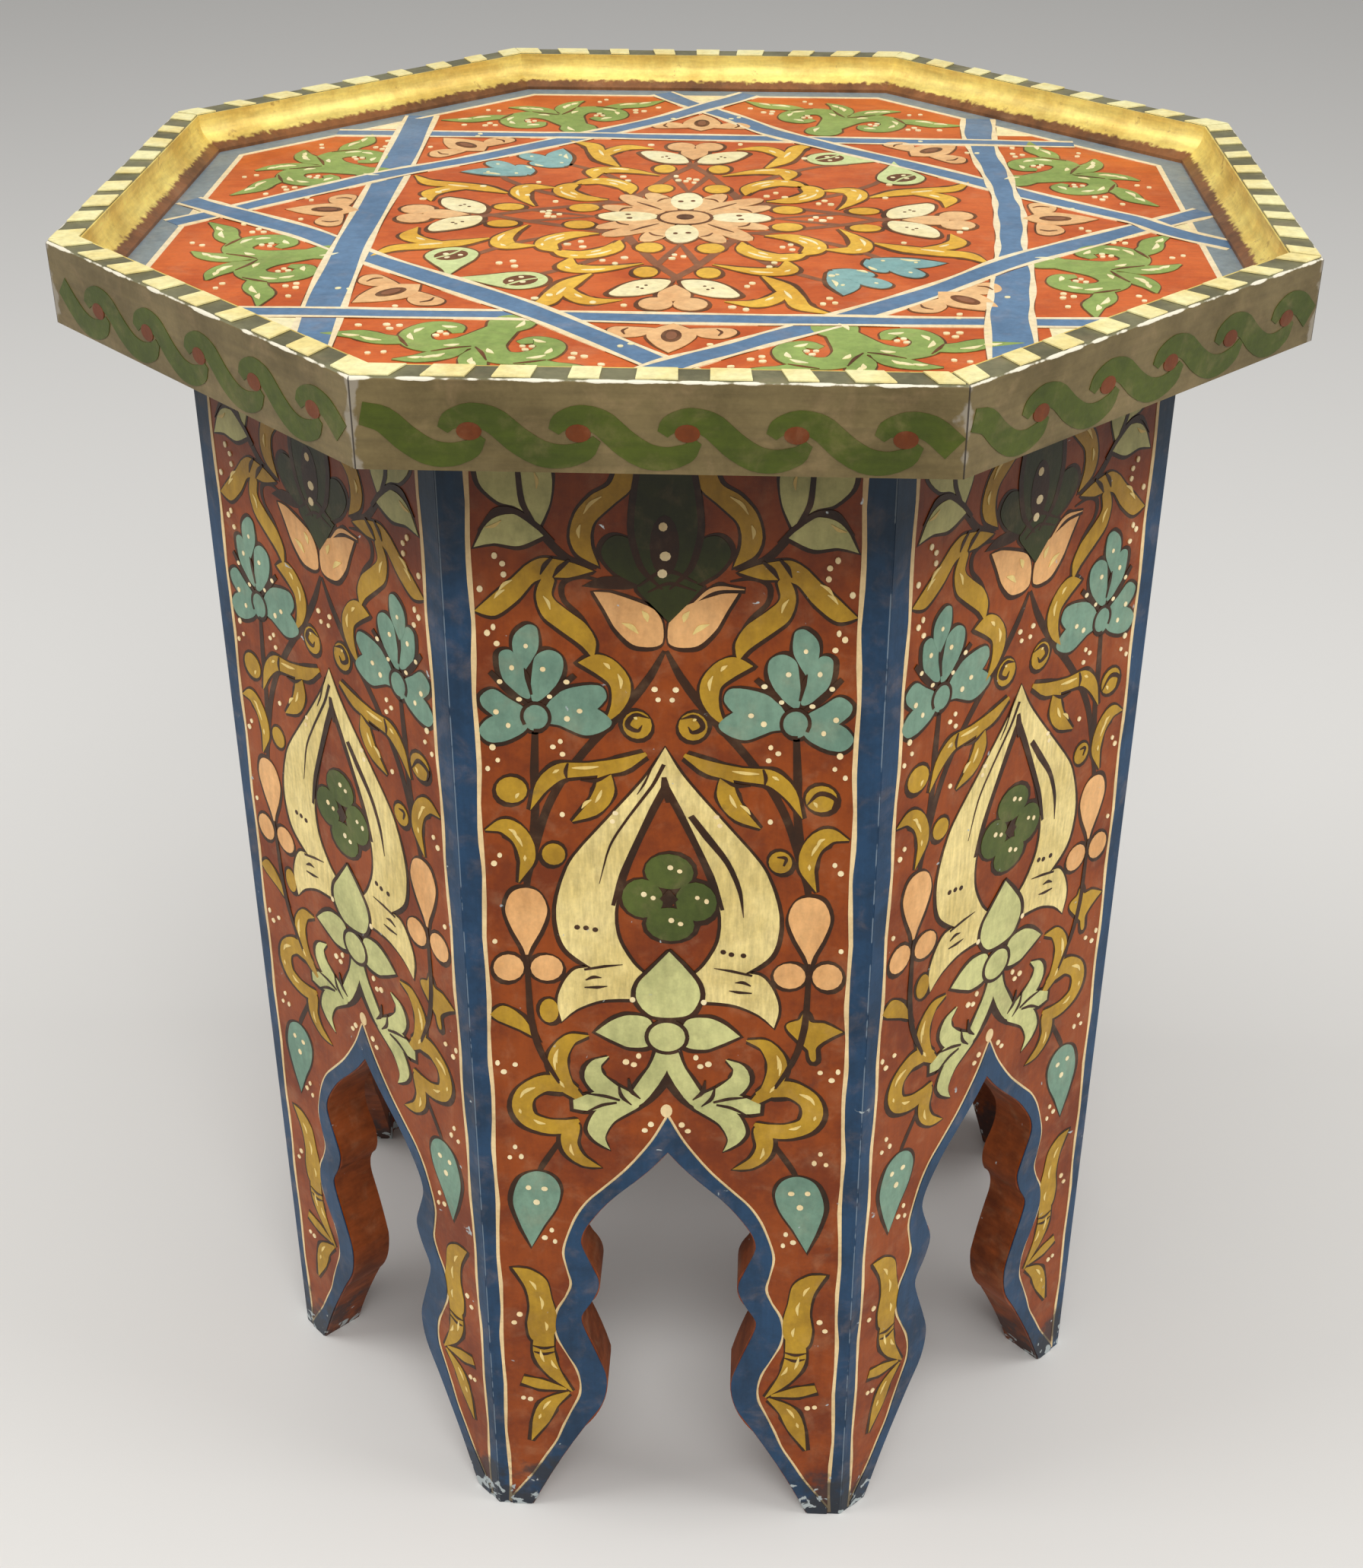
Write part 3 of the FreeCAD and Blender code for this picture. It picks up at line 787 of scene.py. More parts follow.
def ball(sheet, pot, x, y, across, high=None, coat="body", rim=OUTLINE, corners=16):
    """A round or oval dab."""
    turn = np.arange(corners) * math.tau / corners
    ring = np.stack([x + across * np.cos(turn), y + (high or across) * np.sin(turn)], 1)
    patch(sheet, pot, ring, coat, rim=rim, steps=1)


def dots(sheet, places, size=0.95, pot="touch", coat="touch"):
    """Small round dabs of the brush's tip."""
    for x, y in places:
        across, high = size * hand.uniform(0.85, 1.2), size * hand.uniform(0.85, 1.2)
        ball(sheet, pot, x, y, across, high, coat, 0, DOT_CORNERS)


def gleams(sheet, rows, half=GLEAM_HALF):
    """Short pale dabs, each given as where it starts and how far it runs."""
    for x, y, right, up in rows:
        bulge = (x + right * 0.5 - up * 0.1, y + up * 0.5 + right * 0.1, half)
        stroke(sheet, "gleam", [(x, y, 0.15), bulge, (x + right, y + up, 0.1)], "touch", 0)


def mirrored(sheet):
    """The same marks on the other side of the middle line."""
    flipped = []
    for drawn in sheet:
        faces = [face[::-1] for face in drawn["faces"]]
        flipped.append(drawn | {"points": drawn["points"] * (-1, 1), "faces": faces})
    return flipped


def turned(sheet, angle):
    """The same marks turned about the middle."""
    cos, sin = math.cos(angle), math.sin(angle)
    return [drawn | {"points": drawn["points"] @ np.array([[cos, sin], [-sin, cos]])} for drawn in sheet]


print("a dot is a dab with", DOT_CORNERS, "corners")

# %% [markdown]
# ## The side panel
# Each panel is drawn as its right half in millimetres from the middle line and the floor, and
# mirrored. It starts with the bands: blue along both corners and round the arch, each bounded by a
# thin cream line. The corner bands are about twice as wide at the top as at the foot, and
# `corner_line` says where the blue begins at each height. The arch's own edge is written in shares
# of its half width and height. The films stop a hair short of the floor and of the sharp arris, so
# that those of two sides never meet.

# %% Blue bands and cream lines
ARCH_HALF_WIDTH, ARCH_HEIGHT = 49.84, 169.0
ARCH_SHARES = [
    (1.000, 0.000), (0.822, 0.118), (0.601, 0.243), (0.467, 0.314), (0.431, 0.385), (0.489, 0.450),
    (0.571, 0.521), (0.593, 0.562), (0.511, 0.609), (0.467, 0.654), (0.511, 0.698), (0.581, 0.760),
    (0.541, 0.805), (0.401, 0.867), (0.220, 0.923), (0.104, 0.960), (0.000, 1.000)]
arch_edge = [(across * ARCH_HALF_WIDTH, up * ARCH_HEIGHT) for across, up in ARCH_SHARES]
band_edge = [
    (57.5, 3), (53, 10), (48.5, 17), (43.8, 26), (40, 33.5), (37.3, 41), (34.5, 48.5), (31.2, 56.5),
    (30.8, 63), (32, 70), (35, 76.5), (38, 84), (39, 90), (38, 97), (35, 103.5), (32.8, 110),
    (34, 116.5), (35, 124), (33.7, 131), (30.5, 140), (26.5, 147), (21, 153), (13, 162), (5.2, 173.5),
    (0, 184)]
BAND_LOW, BAND_HIGH = (60, 4.3), (380, 8.2)
FOOT_GAP, ARRIS_GAP = 0.3, 0.25
LINE_STEP = 12


def corner_line(height):
    """How far from the middle line the blue of the corner begins; it widens upward."""
    return FACE_HALF - np.interp(height, (BAND_LOW[0], BAND_HIGH[0]), (BAND_LOW[1], BAND_HIGH[1]))


half_panel = []
inner = smooth([(x + 0.35, y + 0.2) for x, y in arch_edge], steps=4)
outer = smooth(band_edge, steps=4)[::-1]
inner[0], inner[-1] = (ARCH_HALF_WIDTH + 0.5, FOOT_GAP), (0, ARCH_HEIGHT + 0.6)
around = np.concatenate([inner, outer, [(band_edge[0][0], FOOT_GAP)]])
mark(half_panel, "blue", "band", around, [tuple(range(len(around)))], True)
levels = (FOOT_GAP, BAND_LOW[0], BAND_HIGH[0], BOARD_TOP)
corner = [(corner_line(y), y) for y in levels] + [(FACE_HALF - ARRIS_GAP, y) for y in levels[::-1]]
mark(half_panel, "blue", "band", np.array(corner), [(7, 6, 1, 0), (6, 5, 2, 1), (5, 4, 3, 2)], True)
arch_rows = [(x, y, 0.78 + 0.18 * math.sin(3 * number)) for number, (x, y) in enumerate(band_edge)]
stroke(half_panel, "cream", arch_rows, "line", 0, steady=True)
line_rows = []
for y in range(1, 421, LINE_STEP):
    sway, swell = 0.35 * math.sin(y * 0.9), 0.14 * math.sin(y * 0.31)
    line_rows.append((corner_line(y) + sway, y, 0.55 + 0.0004 * y + swell))
stroke(half_panel, "cream", line_rows, "line", 0, steady=True)
print("bands and lines", len(half_panel), "marks")

# %% [markdown]
# Under the top hangs a dark green bud with white dots, held by two pink petals. Ochre leaves curl
# away from it, and pale green leaves fill the corners. What the brush drew in one pull is a stroke,
# and what it filled in is a patch. Both could be traced as Bezier curves by hand; rows of numbers
# are easier to mirror, bend and repeat.

# %% The bud and the leaves round it
patch(half_panel, "sage", [
    (34, 394), (38, 398), (43, 400.5), (49, 399.5), (53, 396), (56.5, 389.5), (50, 391), (42, 390.4)],
    sharp=(0, 5))
patch(half_panel, "sage", [
    (35.5, 396.5), (39, 400.5), (43, 403), (48.5, 404.5), (54, 410), (55.5, 420), (44, 420), (32.5, 420),
    (31, 412), (32, 404)], sharp=(0, 5, 7))
dark_lines(half_panel, "vein",
    [(31, 392, 0.7), (36, 397, 0.9), (43, 401.5, 0.9), (49.5, 401.5, 0.7), (55, 395, 0.1)],
    [(37, 398, 0.6), (40.5, 404, 1.0), (41.5, 411, 0.9), (42, 420, 0.8)])
dark_lines(half_panel, "under", [(36, 396, 1.1), (31.5, 391, 1.3), (26.6, 386.5, 1.2), (19, 384, 0.6)])
patch(half_panel, "bottle", [
    (2.5, 377), (9.1, 379.5), (14.9, 383.5), (17.8, 389.3), (14.8, 394.3), (9.8, 393.6), (6, 389),
    (2, 382)], sharp=(0,))
patch(half_panel, "ochre", [
    (7.6, 420), (12.2, 420), (14.9, 411.2), (20.4, 407.2), (24.8, 401.4), (26.4, 394), (24.3, 388.3),
    (18.5, 384.7), (20.6, 391.7), (19.8, 398.3), (14.7, 404.1), (9.2, 410)], sharp=(0, 1, 7))
patch(half_panel, "ochre", [
    (20, 383), (26.5, 385.7), (34.5, 386.8), (39.6, 384.5), (44.1, 380.2), (50.9, 374.2), (56.9, 368.7),
    (50.3, 367.3), (42.8, 372.7), (37.6, 378.7), (32.4, 380.5), (26.6, 380.7)], sharp=(0, 6))
patch(half_panel, "ochre", [
    (34.6, 380.5), (36.9, 374.5), (34.9, 367.8), (29.1, 362.9), (23.2, 357.9), (20.3, 353.7),
    (19.5, 359.7), (22.4, 365.6), (28.2, 370.6), (31.8, 374.7), (31, 380)], sharp=(5,))
dark_lines(half_panel, "under",
    [(17.7, 380, 0.3), (24, 381, 0.8), (28.5, 378.5, 0.9), (28.2, 373, 0.8), (23.5, 367.5, 0.8),
     (19.7, 361, 0.3)])
dark_lines(half_panel, "vein",
    [(26.6, 386.4, 0.4), (29.4, 383.6, 0.8), (31.4, 380.6, 0.2)],
    [(31.6, 387, 0.4), (34, 384.4, 0.8), (35.4, 381.4, 0.2)])
dark_lines(half_panel, "under", [(36.6, 380.8, 0.9), (40.5, 375.5, 1.0), (43, 371.4, 0.4)])
gleams(half_panel, [
    (44.5, 379.3, 4.6, -4), (47, 376, 3.4, -3), (32.4, 370, 2.2, 4.4), (17.5, 407, 5, -5.6),
    (23.4, 398, 0.4, -4.4), (52.5, 396, -5, 2.4), (36, 409, 0.6, 5)])
patch(half_panel, "pink", [
    (20, 376.2), (15.3, 376), (7.3, 373), (3, 370.5), (0.8, 366), (0.8, 360), (3.6, 358.3), (9.1, 359),
    (14, 364.3), (17, 370.5)], sharp=(0,))
gleams(half_panel, [(7.6, 362.8, 4.6, 3.4), (5, 366.8, 1.6, 3.6)], 0.85)
print("bud side", len(half_panel), "marks")

# %% [markdown]
# Below come two blue flowers of five petals, on thin dark stems that cross the panel, with ochre
# crescents, ovals and forked leaves between them. The top petal and the round heart lie over the
# others, so they are painted in a later coat rather than cut to fit.

# %% Blue flowers, crescents and forked leaves
dark_lines(half_panel, "under",
    [(0.3, 357, 0.6), (5, 347, 1.3), (13, 335, 1.4), (24, 321, 1.3), (36, 301, 1.4), (44, 274, 1.2)],
    [(38.7, 328, 1.1), (39.6, 314, 1.5), (40, 300, 1.4), (42, 285, 1.3), (44.3, 270, 1.1)])
patch(half_panel, "ochre", [
    (24.6, 352.4), (19.4, 355.3), (14.3, 353.4), (10.3, 347.7), (10, 341.5), (13, 335.5), (17.5, 331.7),
    (15.4, 338.2), (15.6, 344.8), (19.2, 348.6)], sharp=(0, 6))
ball(half_panel, "ochre", 8, 331.5, 4.2, 4.8)
dark_lines(half_panel, "vein",
    [(4.5, 334, 0.1), (8.5, 335, 0.7), (10.8, 331.5, 0.8), (8, 329.5, 0.6), (6.6, 331.5, 0.1)])
patch(half_panel, "sky", [
    (40.1, 364.6), (36.8, 363.5), (36.7, 356.6), (41.2, 349), (44.6, 354.7), (44.4, 360.7)], coat="over",
    sharp=(3,))
patch(half_panel, "sky", [
    (38.1, 353.1), (33.6, 356.3), (29.2, 354.3), (29.3, 348.2), (33.1, 342), (39.2, 339)])
patch(half_panel, "sky", [
    (49.4, 354.5), (45.5, 355.8), (41.2, 349.5), (39.7, 340), (43.8, 341), (48.6, 346.5)])
patch(half_panel, "sky", [
    (34.6, 337.2), (30.1, 342.1), (24.2, 344.4), (18.4, 344.6), (16.7, 340.7), (19.4, 336.7),
    (15.3, 332.4), (18.4, 328.7), (23.6, 327.4), (30.3, 330.5), (35.4, 332)], sharp=(5,))
patch(half_panel, "sky", [
    (41.4, 335.6), (46.7, 339.4), (51.8, 342.5), (56, 340), (55.6, 336.6), (52.1, 333.4), (55, 331.6),
    (57.1, 327.9), (53.9, 324.3), (47.8, 325), (41.2, 329.3)], sharp=(5,))
ball(half_panel, "sky", 38.2, 333.3, 4.7, 4.9, "over")
turn = np.linspace(-0.6, 4.9, 12)
dark_lines(half_panel, "vein",
    [(38.2 + 4.6 * math.cos(t), 333.3 + 4.8 * math.sin(t), 0.6) for t in turn])
dark_lines(half_panel, "over",
    [(25.6, 348, 0.9), (30.9, 342.9, 1.2), (36, 337.6, 0.4)],
    [(52.6, 348.4, 0.9), (46.2, 341.6, 1.3), (40, 337, 0.5)])
dark_lines(half_panel, "vein", [(41.3, 350, 0.2), (40.4, 346.5, 0.8), (39.3, 341, 0.4)])
dots(half_panel, [
    (28, 345.7), (33.4, 340.5), (40.6, 357.5), (35.3, 349.8), (45.4, 350), (24.5, 335.8), (51.2, 334.8),
    (47.4, 330.2), (28.2, 333), (49.5, 345.2), (43.4, 339.3)], 0.85)
stroke(half_panel, "ochre", [
    (5.5, 321.5, 0.6), (13, 317.3, 2.3), (22, 315.4, 2.3), (31, 314.3, 2.7), (37.3, 309, 2.2),
    (41.5, 300.5, 0)], gleam=0.2)
stroke(half_panel, "ochre", [
    (18, 316, 1.5), (18, 308, 2.9), (21.5, 301.5, 2.5), (28, 296.5, 0)], gleam=0.25)
dark_lines(half_panel, "vein",
    [(16, 314, 0.1), (20.5, 311.5, 0.7), (25, 311.5, 0.2)],
    [(28.5, 317.4, 0.3), (29.3, 314.5, 0.6), (29, 311.8, 0.2)])
ball(half_panel, "ochre", 47.5, 307.5, 5.2, 4.6)
stroke(half_panel, "ochre", [
    (57, 293, 0), (50.5, 294.5, 2.6), (45.2, 290.5, 3.1), (43.3, 283, 2.6), (46.5, 274, 0)], gleam=0.25)
ball(half_panel, "ochre", 34.5, 284.5, 3.9, 3.9)
gleams(half_panel, [
    (12.6, 344, 0.8, 5), (15.6, 350.6, 1.8, 2), (22, 304.6, 3, -3.2), (46.5, 291.5, 2.6, 2),
    (45, 306.4, 1.2, -1.8), (8, 333.6, 1, 0.6)])
print("flowers", len(half_panel), "marks")

# %% [markdown]
# The middle of the panel is a cream ogee, an onion-shaped frame with two feet. Pink trefoils on long
# stems stand beside it. A smooth line would round off the ogee's tips, so its sharp corners are
# listed by their number in the outline.

# %% The ogee and the trefoils
patch(half_panel, "ivory", [
    (0, 324), (4, 316), (9.5, 308), (20, 294.5), (29, 282), (33.6, 269), (34.2, 259), (31.4, 249.5),
    (23.5, 242.3), (28.3, 241.6), (31.9, 237.4), (34.2, 231.7), (34.5, 227), (33.2, 221.4),
    (28.2, 226.3), (21, 229.8), (13.8, 230.7), (6, 230.6), (6, 239), (11, 244.5), (15.4, 254), (16, 265),
    (12, 280), (5.4, 297), (0, 309)], sharp=(0, 8, 13, 17, 18, 24))
dark_lines(half_panel, "over",
    [(0, 310, 1.2), (3.2, 303, 1.2), (8.2, 291, 1.0), (13.6, 277.5, 0.9), (16.6, 266, 0.6)])
dark_lines(half_panel, "vein",
    [(14, 243.8, 0.1), (19.5, 243, 0.5), (25.8, 241.6, 0.4)],
    [(20.5, 238.6, 0.1), (23, 238.8, 0.6), (25.4, 237.6, 0.2)],
    [(18.7, 235.4, 0.1), (22, 234.9, 0.55), (25.8, 234.8, 0.2)])
patch(half_panel, "pink", [
    (44.3, 272), (49.2, 270), (51.3, 264), (49.3, 257), (45.8, 250), (44.5, 245.5), (43, 250),
    (39.3, 257), (37.3, 264), (39.5, 270)], sharp=(5,))
ball(half_panel, "pink", 37.9, 242, 5.4, 4.9)
ball(half_panel, "pink", 50.6, 242, 5.1, 5.0)
dark_lines(half_panel, "over",
    [(44.4, 247, 0.4), (44.3, 240, 0.9), (43.5, 222, 1.2), (40.5, 209, 1.1), (34.5, 197, 0.6)])
print("ogee", len(half_panel), "marks")

# %% [markdown]
# From the ogee's foot grows a pale green plant that splits over the arch into two curled acanthus
# leaves, each held by an ochre bow. A curl is one stroke that thins to nothing, which a spin of a
# circle would not do.

# %% The acanthus and the bows
patch(half_panel, "sage", [
    (5.4, 222.5), (11.9, 224.3), (17.5, 222), (22.5, 217.5), (16.8, 214.1), (11.6, 211.8), (5, 213.5)],
    sharp=(3,))
stroke(half_panel, "sage", [
    (0.3, 212, 2.6), (2.6, 204, 2.8), (6.4, 196.6, 3.0), (10, 191, 2.6), (14, 189.4, 1.6)])
stroke(half_panel, "sage", [
    (12, 192, 1.8), (18.6, 194.4, 3.3), (23, 199.4, 3.2), (22.6, 204.6, 1.9), (18.4, 208, 0)])
patch(half_panel, "sage", [
    (11, 193), (17, 194.4), (22.9, 193.8), (30.1, 190.2), (30, 186.7), (25, 186), (19.8, 187),
    (12, 188)], sharp=(3, 4))
patch(half_panel, "sage", [
    (10, 191), (15.7, 190), (22.5, 186.4), (25.7, 179), (23.5, 174), (18.5, 170.2), (20, 175.4),
    (16.8, 182), (9, 188)], sharp=(5,), coat="over")
dark_lines(half_panel, "vein",
    [(8.4, 191.4, 0.2), (11.4, 194.6, 0.8), (12.2, 199.4, 0.3)],
    [(11.2, 188.8, 0.2), (14.4, 192.2, 0.7), (15.4, 197, 0.2)],
    [(15, 190.6, 0.4), (20, 192.2, 0.6), (27, 193.2, 0.1)],
    [(16, 189.6, 0.4), (21, 188.4, 0.6), (27, 184.8, 0.2)])
dark_lines(half_panel, "under",
    [(0.2, 205, 0.4), (0.5, 198.5, 1.4), (4.5, 191.6, 1.1), (9.4, 186.4, 0.4)])
stroke(half_panel, "ochre", [
    (24.5, 216, 0), (31, 214, 2.3), (35, 206.5, 3.3), (33, 197, 2.9), (26.5, 189.6, 0.8)], gleam=0.25)
stroke(half_panel, "ochre", [
    (28.5, 194.4, 0.6), (33.4, 196.2, 2.9), (40, 196.6, 3.2), (46, 192.6, 3.4), (47.8, 187, 3.5),
    (45.6, 181.8, 3.1), (39.6, 179.2, 3.0), (33.4, 179.4, 2.6), (28.4, 182, 0.6)], gleam=0.12)
patch(half_panel, "ochre", [
    (34.4, 177), (33.9, 168.9), (28.2, 163.3), (21.6, 162.6), (27.2, 167.3), (29.3, 172.5), (28.8, 181)],
    sharp=(3,))
dark_lines(half_panel, "under", [(29, 183, 0.5), (36, 172, 1.0), (41.5, 163, 1.1), (43.8, 158, 0.7)])
gleams(half_panel, [
    (43, 195, 3.6, -2.4), (44, 181.8, -4, -1.6), (31.6, 172, -1, -4.6), (34.8, 210, 0.4, -5)])
print("bows", len(half_panel), "marks")

# %% [markdown]
# A blue drop with three dots hangs beside the arch, and ochre leaves climb each narrow leg. They
# follow the leg's own curve, so they are placed one by one and not by a rule.

# %% The drops and the leaves of the legs
patch(half_panel, "sky", [
    (44, 159.9), (38.4, 157.8), (35.9, 152), (37.6, 144.4), (42, 136.6), (46.6, 126.6), (50.4, 136.8),
    (52.6, 147), (49.8, 156.6)], sharp=(5,))
dots(half_panel, [(41.4, 152.6), (47, 152.8), (44.4, 146.6)], 1.0)
patch(half_panel, "ochre", [
    (53.5, 116.5), (47.5, 116), (42, 111.5), (40.3, 103), (38.6, 94), (40, 86), (46.5, 82.5), (49, 90),
    (48, 99), (49.3, 108)], sharp=(0,))
stroke(half_panel, "ochre", [
    (43.2, 87, 3.4), (43.5, 77, 3.7), (40.5, 68, 2.6), (34, 58.5, 0.2)], gleam=0.2)
stroke(half_panel, "ochre", [(51.5, 63.5, 1.6), (45, 61.5, 2.3), (36, 59.5, 0.4)])
stroke(half_panel, "ochre", [(35, 58, 0.4), (42, 52, 2.9), (45.5, 44, 3.0), (49.5, 33, 0)], gleam=0.25)
dark_lines(half_panel, "vein",
    [(39.5, 80.5, 0.2), (43.5, 79.3, 0.65), (47.3, 80.3, 0.2)],
    [(39.8, 77.8, 0.2), (43.5, 76.5, 0.65), (47, 77.5, 0.2)])
gleams(half_panel, [(43.8, 98, 0.6, 6), (45.6, 107, 2.2, 4), (42.4, 88, 0.4, 4), (41, 73.6, -2, -4)])
print("right half", len(half_panel), "marks")

# %% [markdown]
# White dots in twos and threes fill the ground between the leaves. They are the last thing a painter
# adds, with the handle of the brush. Chance could scatter them, but it would also drop them on the
# leaves, so their places are listed.

# %% Dots between the leaves
DOT_PLACES = [
    (50, 387), (47.5, 384.5), (47.2, 381), (51, 363.5), (53, 361.5), (50, 358), (30, 320.5), (33, 323),
    (30.5, 325), (55, 315), (51.5, 318), (16, 297), (15, 300), (54.5, 281), (52.5, 284), (31, 299),
    (55.5, 204.5), (53.5, 201), (49.5, 204), (51, 170), (49, 166), (53, 165.5), (42, 131), (39.5, 134.5),
    (38.5, 129.5), (51.5, 95), (53.5, 91), (51.5, 54.5), (49, 54), (10.5, 205), (9, 208.5), (13, 206),
    (5, 181), (7, 178.5), (3, 344), (2, 340.5), (55, 252), (55, 376), (11, 230.5), (53, 322.5)]
dots(half_panel, DOT_PLACES, 0.9)
print(len(DOT_PLACES), "dots a side")

# %% [markdown]
# What stands on the middle line, and what the painter drew on one side only, comes last: the bud's
# heart, the rosette inside the ogee, the dry brush lines on its left and the bold one on its right,
# the tear-shaped leaf under it, and an odd leaf at each edge.

# %% The middle of the panel
middle = []
patch(middle, "bottle", [
    (-6.8, 420), (6.8, 420), (9, 405.9), (9.6, 397.7), (8.4, 390.3), (6.2, 383.7), (0, 377.5),
    (-6.2, 383.7), (-8.4, 390.3), (-9.6, 397.7), (-9, 405.9)], "over", (0, 1))
patch(middle, "bottle", [
    (-7.9, 378), (-4, 372.4), (1, 366.6), (6, 372.6), (10.2, 378.4), (5, 381), (1, 381.6), (-4, 380.6)],
    "over", (2, 4))
for side in (-1, 1):
    rim_rows = [
        (1, 377.5, 0.3), (6.4, 383.7, 0.9), (8.8, 391, 1.0), (9.7, 398, 1.0), (8.8, 408, 0.9),
        (6.9, 420, 0.9)]
    dark_lines(middle, "vein", [(side * x, y, half) for x, y, half in rim_rows])
dark_lines(middle, "vein",
    [(-7.6, 378.4, 0.3), (0, 383.4, 0.7), (8.6, 379.6, 0.3)],
    [(-5, 376.4, 0.2), (1, 379.4, 0.55), (8.4, 377, 0.2)])
ball(middle, "outline", -0.4, 391.5, 4.1, 9.8, "vein", 0)
dots(middle, [(-0.8, 397.6), (-0.2, 388.2), (-1, 382.6)], 1.35)
patch(middle, "outline", [
    (-23.3, 377.9), (-17.8, 381.1), (-10.6, 381.3), (-6.2, 378.7), (-10.6, 377.2), (-17.9, 377.2)],
    "band", (0, 3), 0)
stroke(middle, "pink", [(7.2, 372.4, 0.1), (13.4, 377.6, 0.7), (21.7, 377.4, 0.1)])
ROSETTE = [(0.6, 279.3, 7.4, 6.5), (-7.6, 269, 6.3, 7.2), (8.6, 268.6, 6.3, 7.2), (0.6, 259.7, 7.4, 6.3)]
for x, y, across, high in ROSETTE:
    ball(middle, "moss", x, y, across, high)
    dots(middle, [(x + 0.4, y + 1.6), (x + 3.2, y + 0.4)], 0.8)
dark_lines(middle, "vein",
    [(43, 305.4, 0.2), (47, 309.4, 0.8), (52, 307.6, 0.7), (51, 303.8, 0.2)],
    [(33.4, 286.4, 0.2), (36.3, 286, 0.6), (35.6, 283.3, 0.3)])
patch(middle, "outline", [
    (0.4, 273), (3.2, 269.2), (0.4, 265.8), (-2.4, 269.2)], "vein", (0, 1, 2, 3), rim=0)
dark_lines(middle, "vein",
    [(-0.4, 313.5, 0.7), (0, 309.5, 1.3), (0.6, 304.5, 0.5)],
    [(7.4, 300, 1.0), (12.2, 292.6, 1.2), (18.2, 283.6, 0.9), (21.8, 273.7, 0.7), (23, 263.6, 0.1)],
    [(-0.4, 318, 0.6), (-4, 310, 0.5), (-11, 299, 0.4), (-17, 288, 0.35), (-20.6, 274, 0.1)],
    [(-2.6, 320, 0.1), (-6, 311.4, 0.35), (-8.4, 307, 0.1)])
for x, y in ((-27.7, 257.6), (-25, 257.4), (-22.2, 256.8), (16.8, 250.2), (19.3, 249.4), (23, 249.2)):
    ball(middle, "outline", x, y, 0.9, 0.9, "vein", 0, DOT_CORNERS)
patch(middle, "sage", [
    (0.3, 249.4), (5, 243.5), (9, 237.5), (9.8, 231), (6.6, 225), (0.5, 222.6), (-5.4, 224.6),
    (-9.8, 230), (-9.6, 236), (-5, 242.5)], sharp=(0,), coat="over")
dark_lines(middle, "vein",
    [(0.5, 250, 0.5), (5.5, 244.2, 0.7), (9.9, 237.4, 0.8), (10.4, 231, 0.8), (6, 224.4, 0.6),
     (-5, 223.8, 0.6), (-10.4, 230, 0.8), (-9.9, 237, 0.7), (-4.7, 244, 0.6), (0, 249.8, 0.4)])
ball(middle, "sage", -0.2, 216.3, 6.2, 6.1, "over")
turn = np.linspace(0, math.tau, 15)
dark_lines(middle, "vein", [(-0.2 + 6.4 * math.cos(t), 216.3 + 6.3 * math.sin(t), 0.65) for t in turn])
patch(middle, "ochre", [
    (-57.3, 223.7), (-52.8, 227.2), (-46.6, 223.2), (-41.1, 214), (-47.5, 218), (-54.6, 221.3)],
    sharp=(0, 3))
ball(middle, "ochre", -37.4, 225.5, 3.2, 4.6)
patch(middle, "ochre", [
    (56.4, 220.6), (50.3, 223.8), (45.6, 224.2), (43.4, 227.6), (41.6, 225), (37.3, 222.4), (41.4, 217),
    (45.1, 213), (47.2, 208.4), (47.8, 214.2), (52, 218)], sharp=(0, 7))
ball(middle, "cream", 0, 186.6, 1.9, 2.6, "line", 0)

panel = half_panel + mirrored(half_panel) + middle
print("one panel", len(panel), "marks")

# %% [markdown]
# ## Laying a drawing on the wood
# A placed drawing bends a little, by a slow seeded wave, so that no two panels are the same, as no
# hand repeats itself. Bands stay steady, because they follow the edges of the board. All marks of
# one paint on one set of faces become one piece. A picture wrapped on the boards would be quicker, but
# it would blur close up, and this way the strokes stay real geometry.

# %% Bend and place a drawing
BEND_WAVES, BEND_RATES = 3, (0.012, 0.03)
CELL_START, CELL_REACH, CELL_SIZE = (80, 2), (160, 450), (0.24, 0.48)
TOP_REACH = 400


def bent_by(seed, size):
    """A slow wave that shifts points by up to about size, different for each seed."""
    dice = random.Random(seed)
    waves = [(dice.uniform(*BEND_RATES), dice.uniform(*BEND_RATES), dice.uniform(0, math.tau),
              dice.uniform(0, math.tau)) for _ in range(BEND_WAVES)]

    def bend(points):
        x, y = points[:, 0], points[:, 1]
        shift_x = sum(np.sin(y * a * 2 + p) * np.cos(x * b + q) for a, b, p, q in waves)
        shift_y = sum(np.sin(x * b * 2 + q) * np.cos(y * a + p) for a, b, p, q in waves)
        return points + np.stack([shift_x, shift_y], 1) * (size / 2)

    return bend


def on_side(number, face, bend):
    """Lays points (across, up) on side number, counted round from the front."""
    facing = number * TURN - math.pi / 2

    def place(points, height, steady):
        flat = points if steady else bend(points)
        out = face + height
        x = math.cos(facing) * out - math.sin(facing) * flat[:, 0]
        y = math.sin(facing) * out + math.cos(facing) * flat[:, 0]
        cell = (flat + CELL_START) / CELL_REACH * CELL_SIZE
        return np.stack([x, y, flat[:, 1]], 1) * MM, cell + (0.25 * (number % 4), 0.5 * (number // 4))

    return place


def on_level(level, bend):
    """Lays points (right, back) on a level face."""
    def place(points, height, steady):
        flat = points if steady else bend(points)
        up = np.full(len(flat), level + height)
        return np.column_stack([flat, up]) * MM, flat / TOP_REACH + 0.5

    return place


longest = math.tau / BEND_RATES[0]
print("the bend's longest wave is", round(longest), "mm")

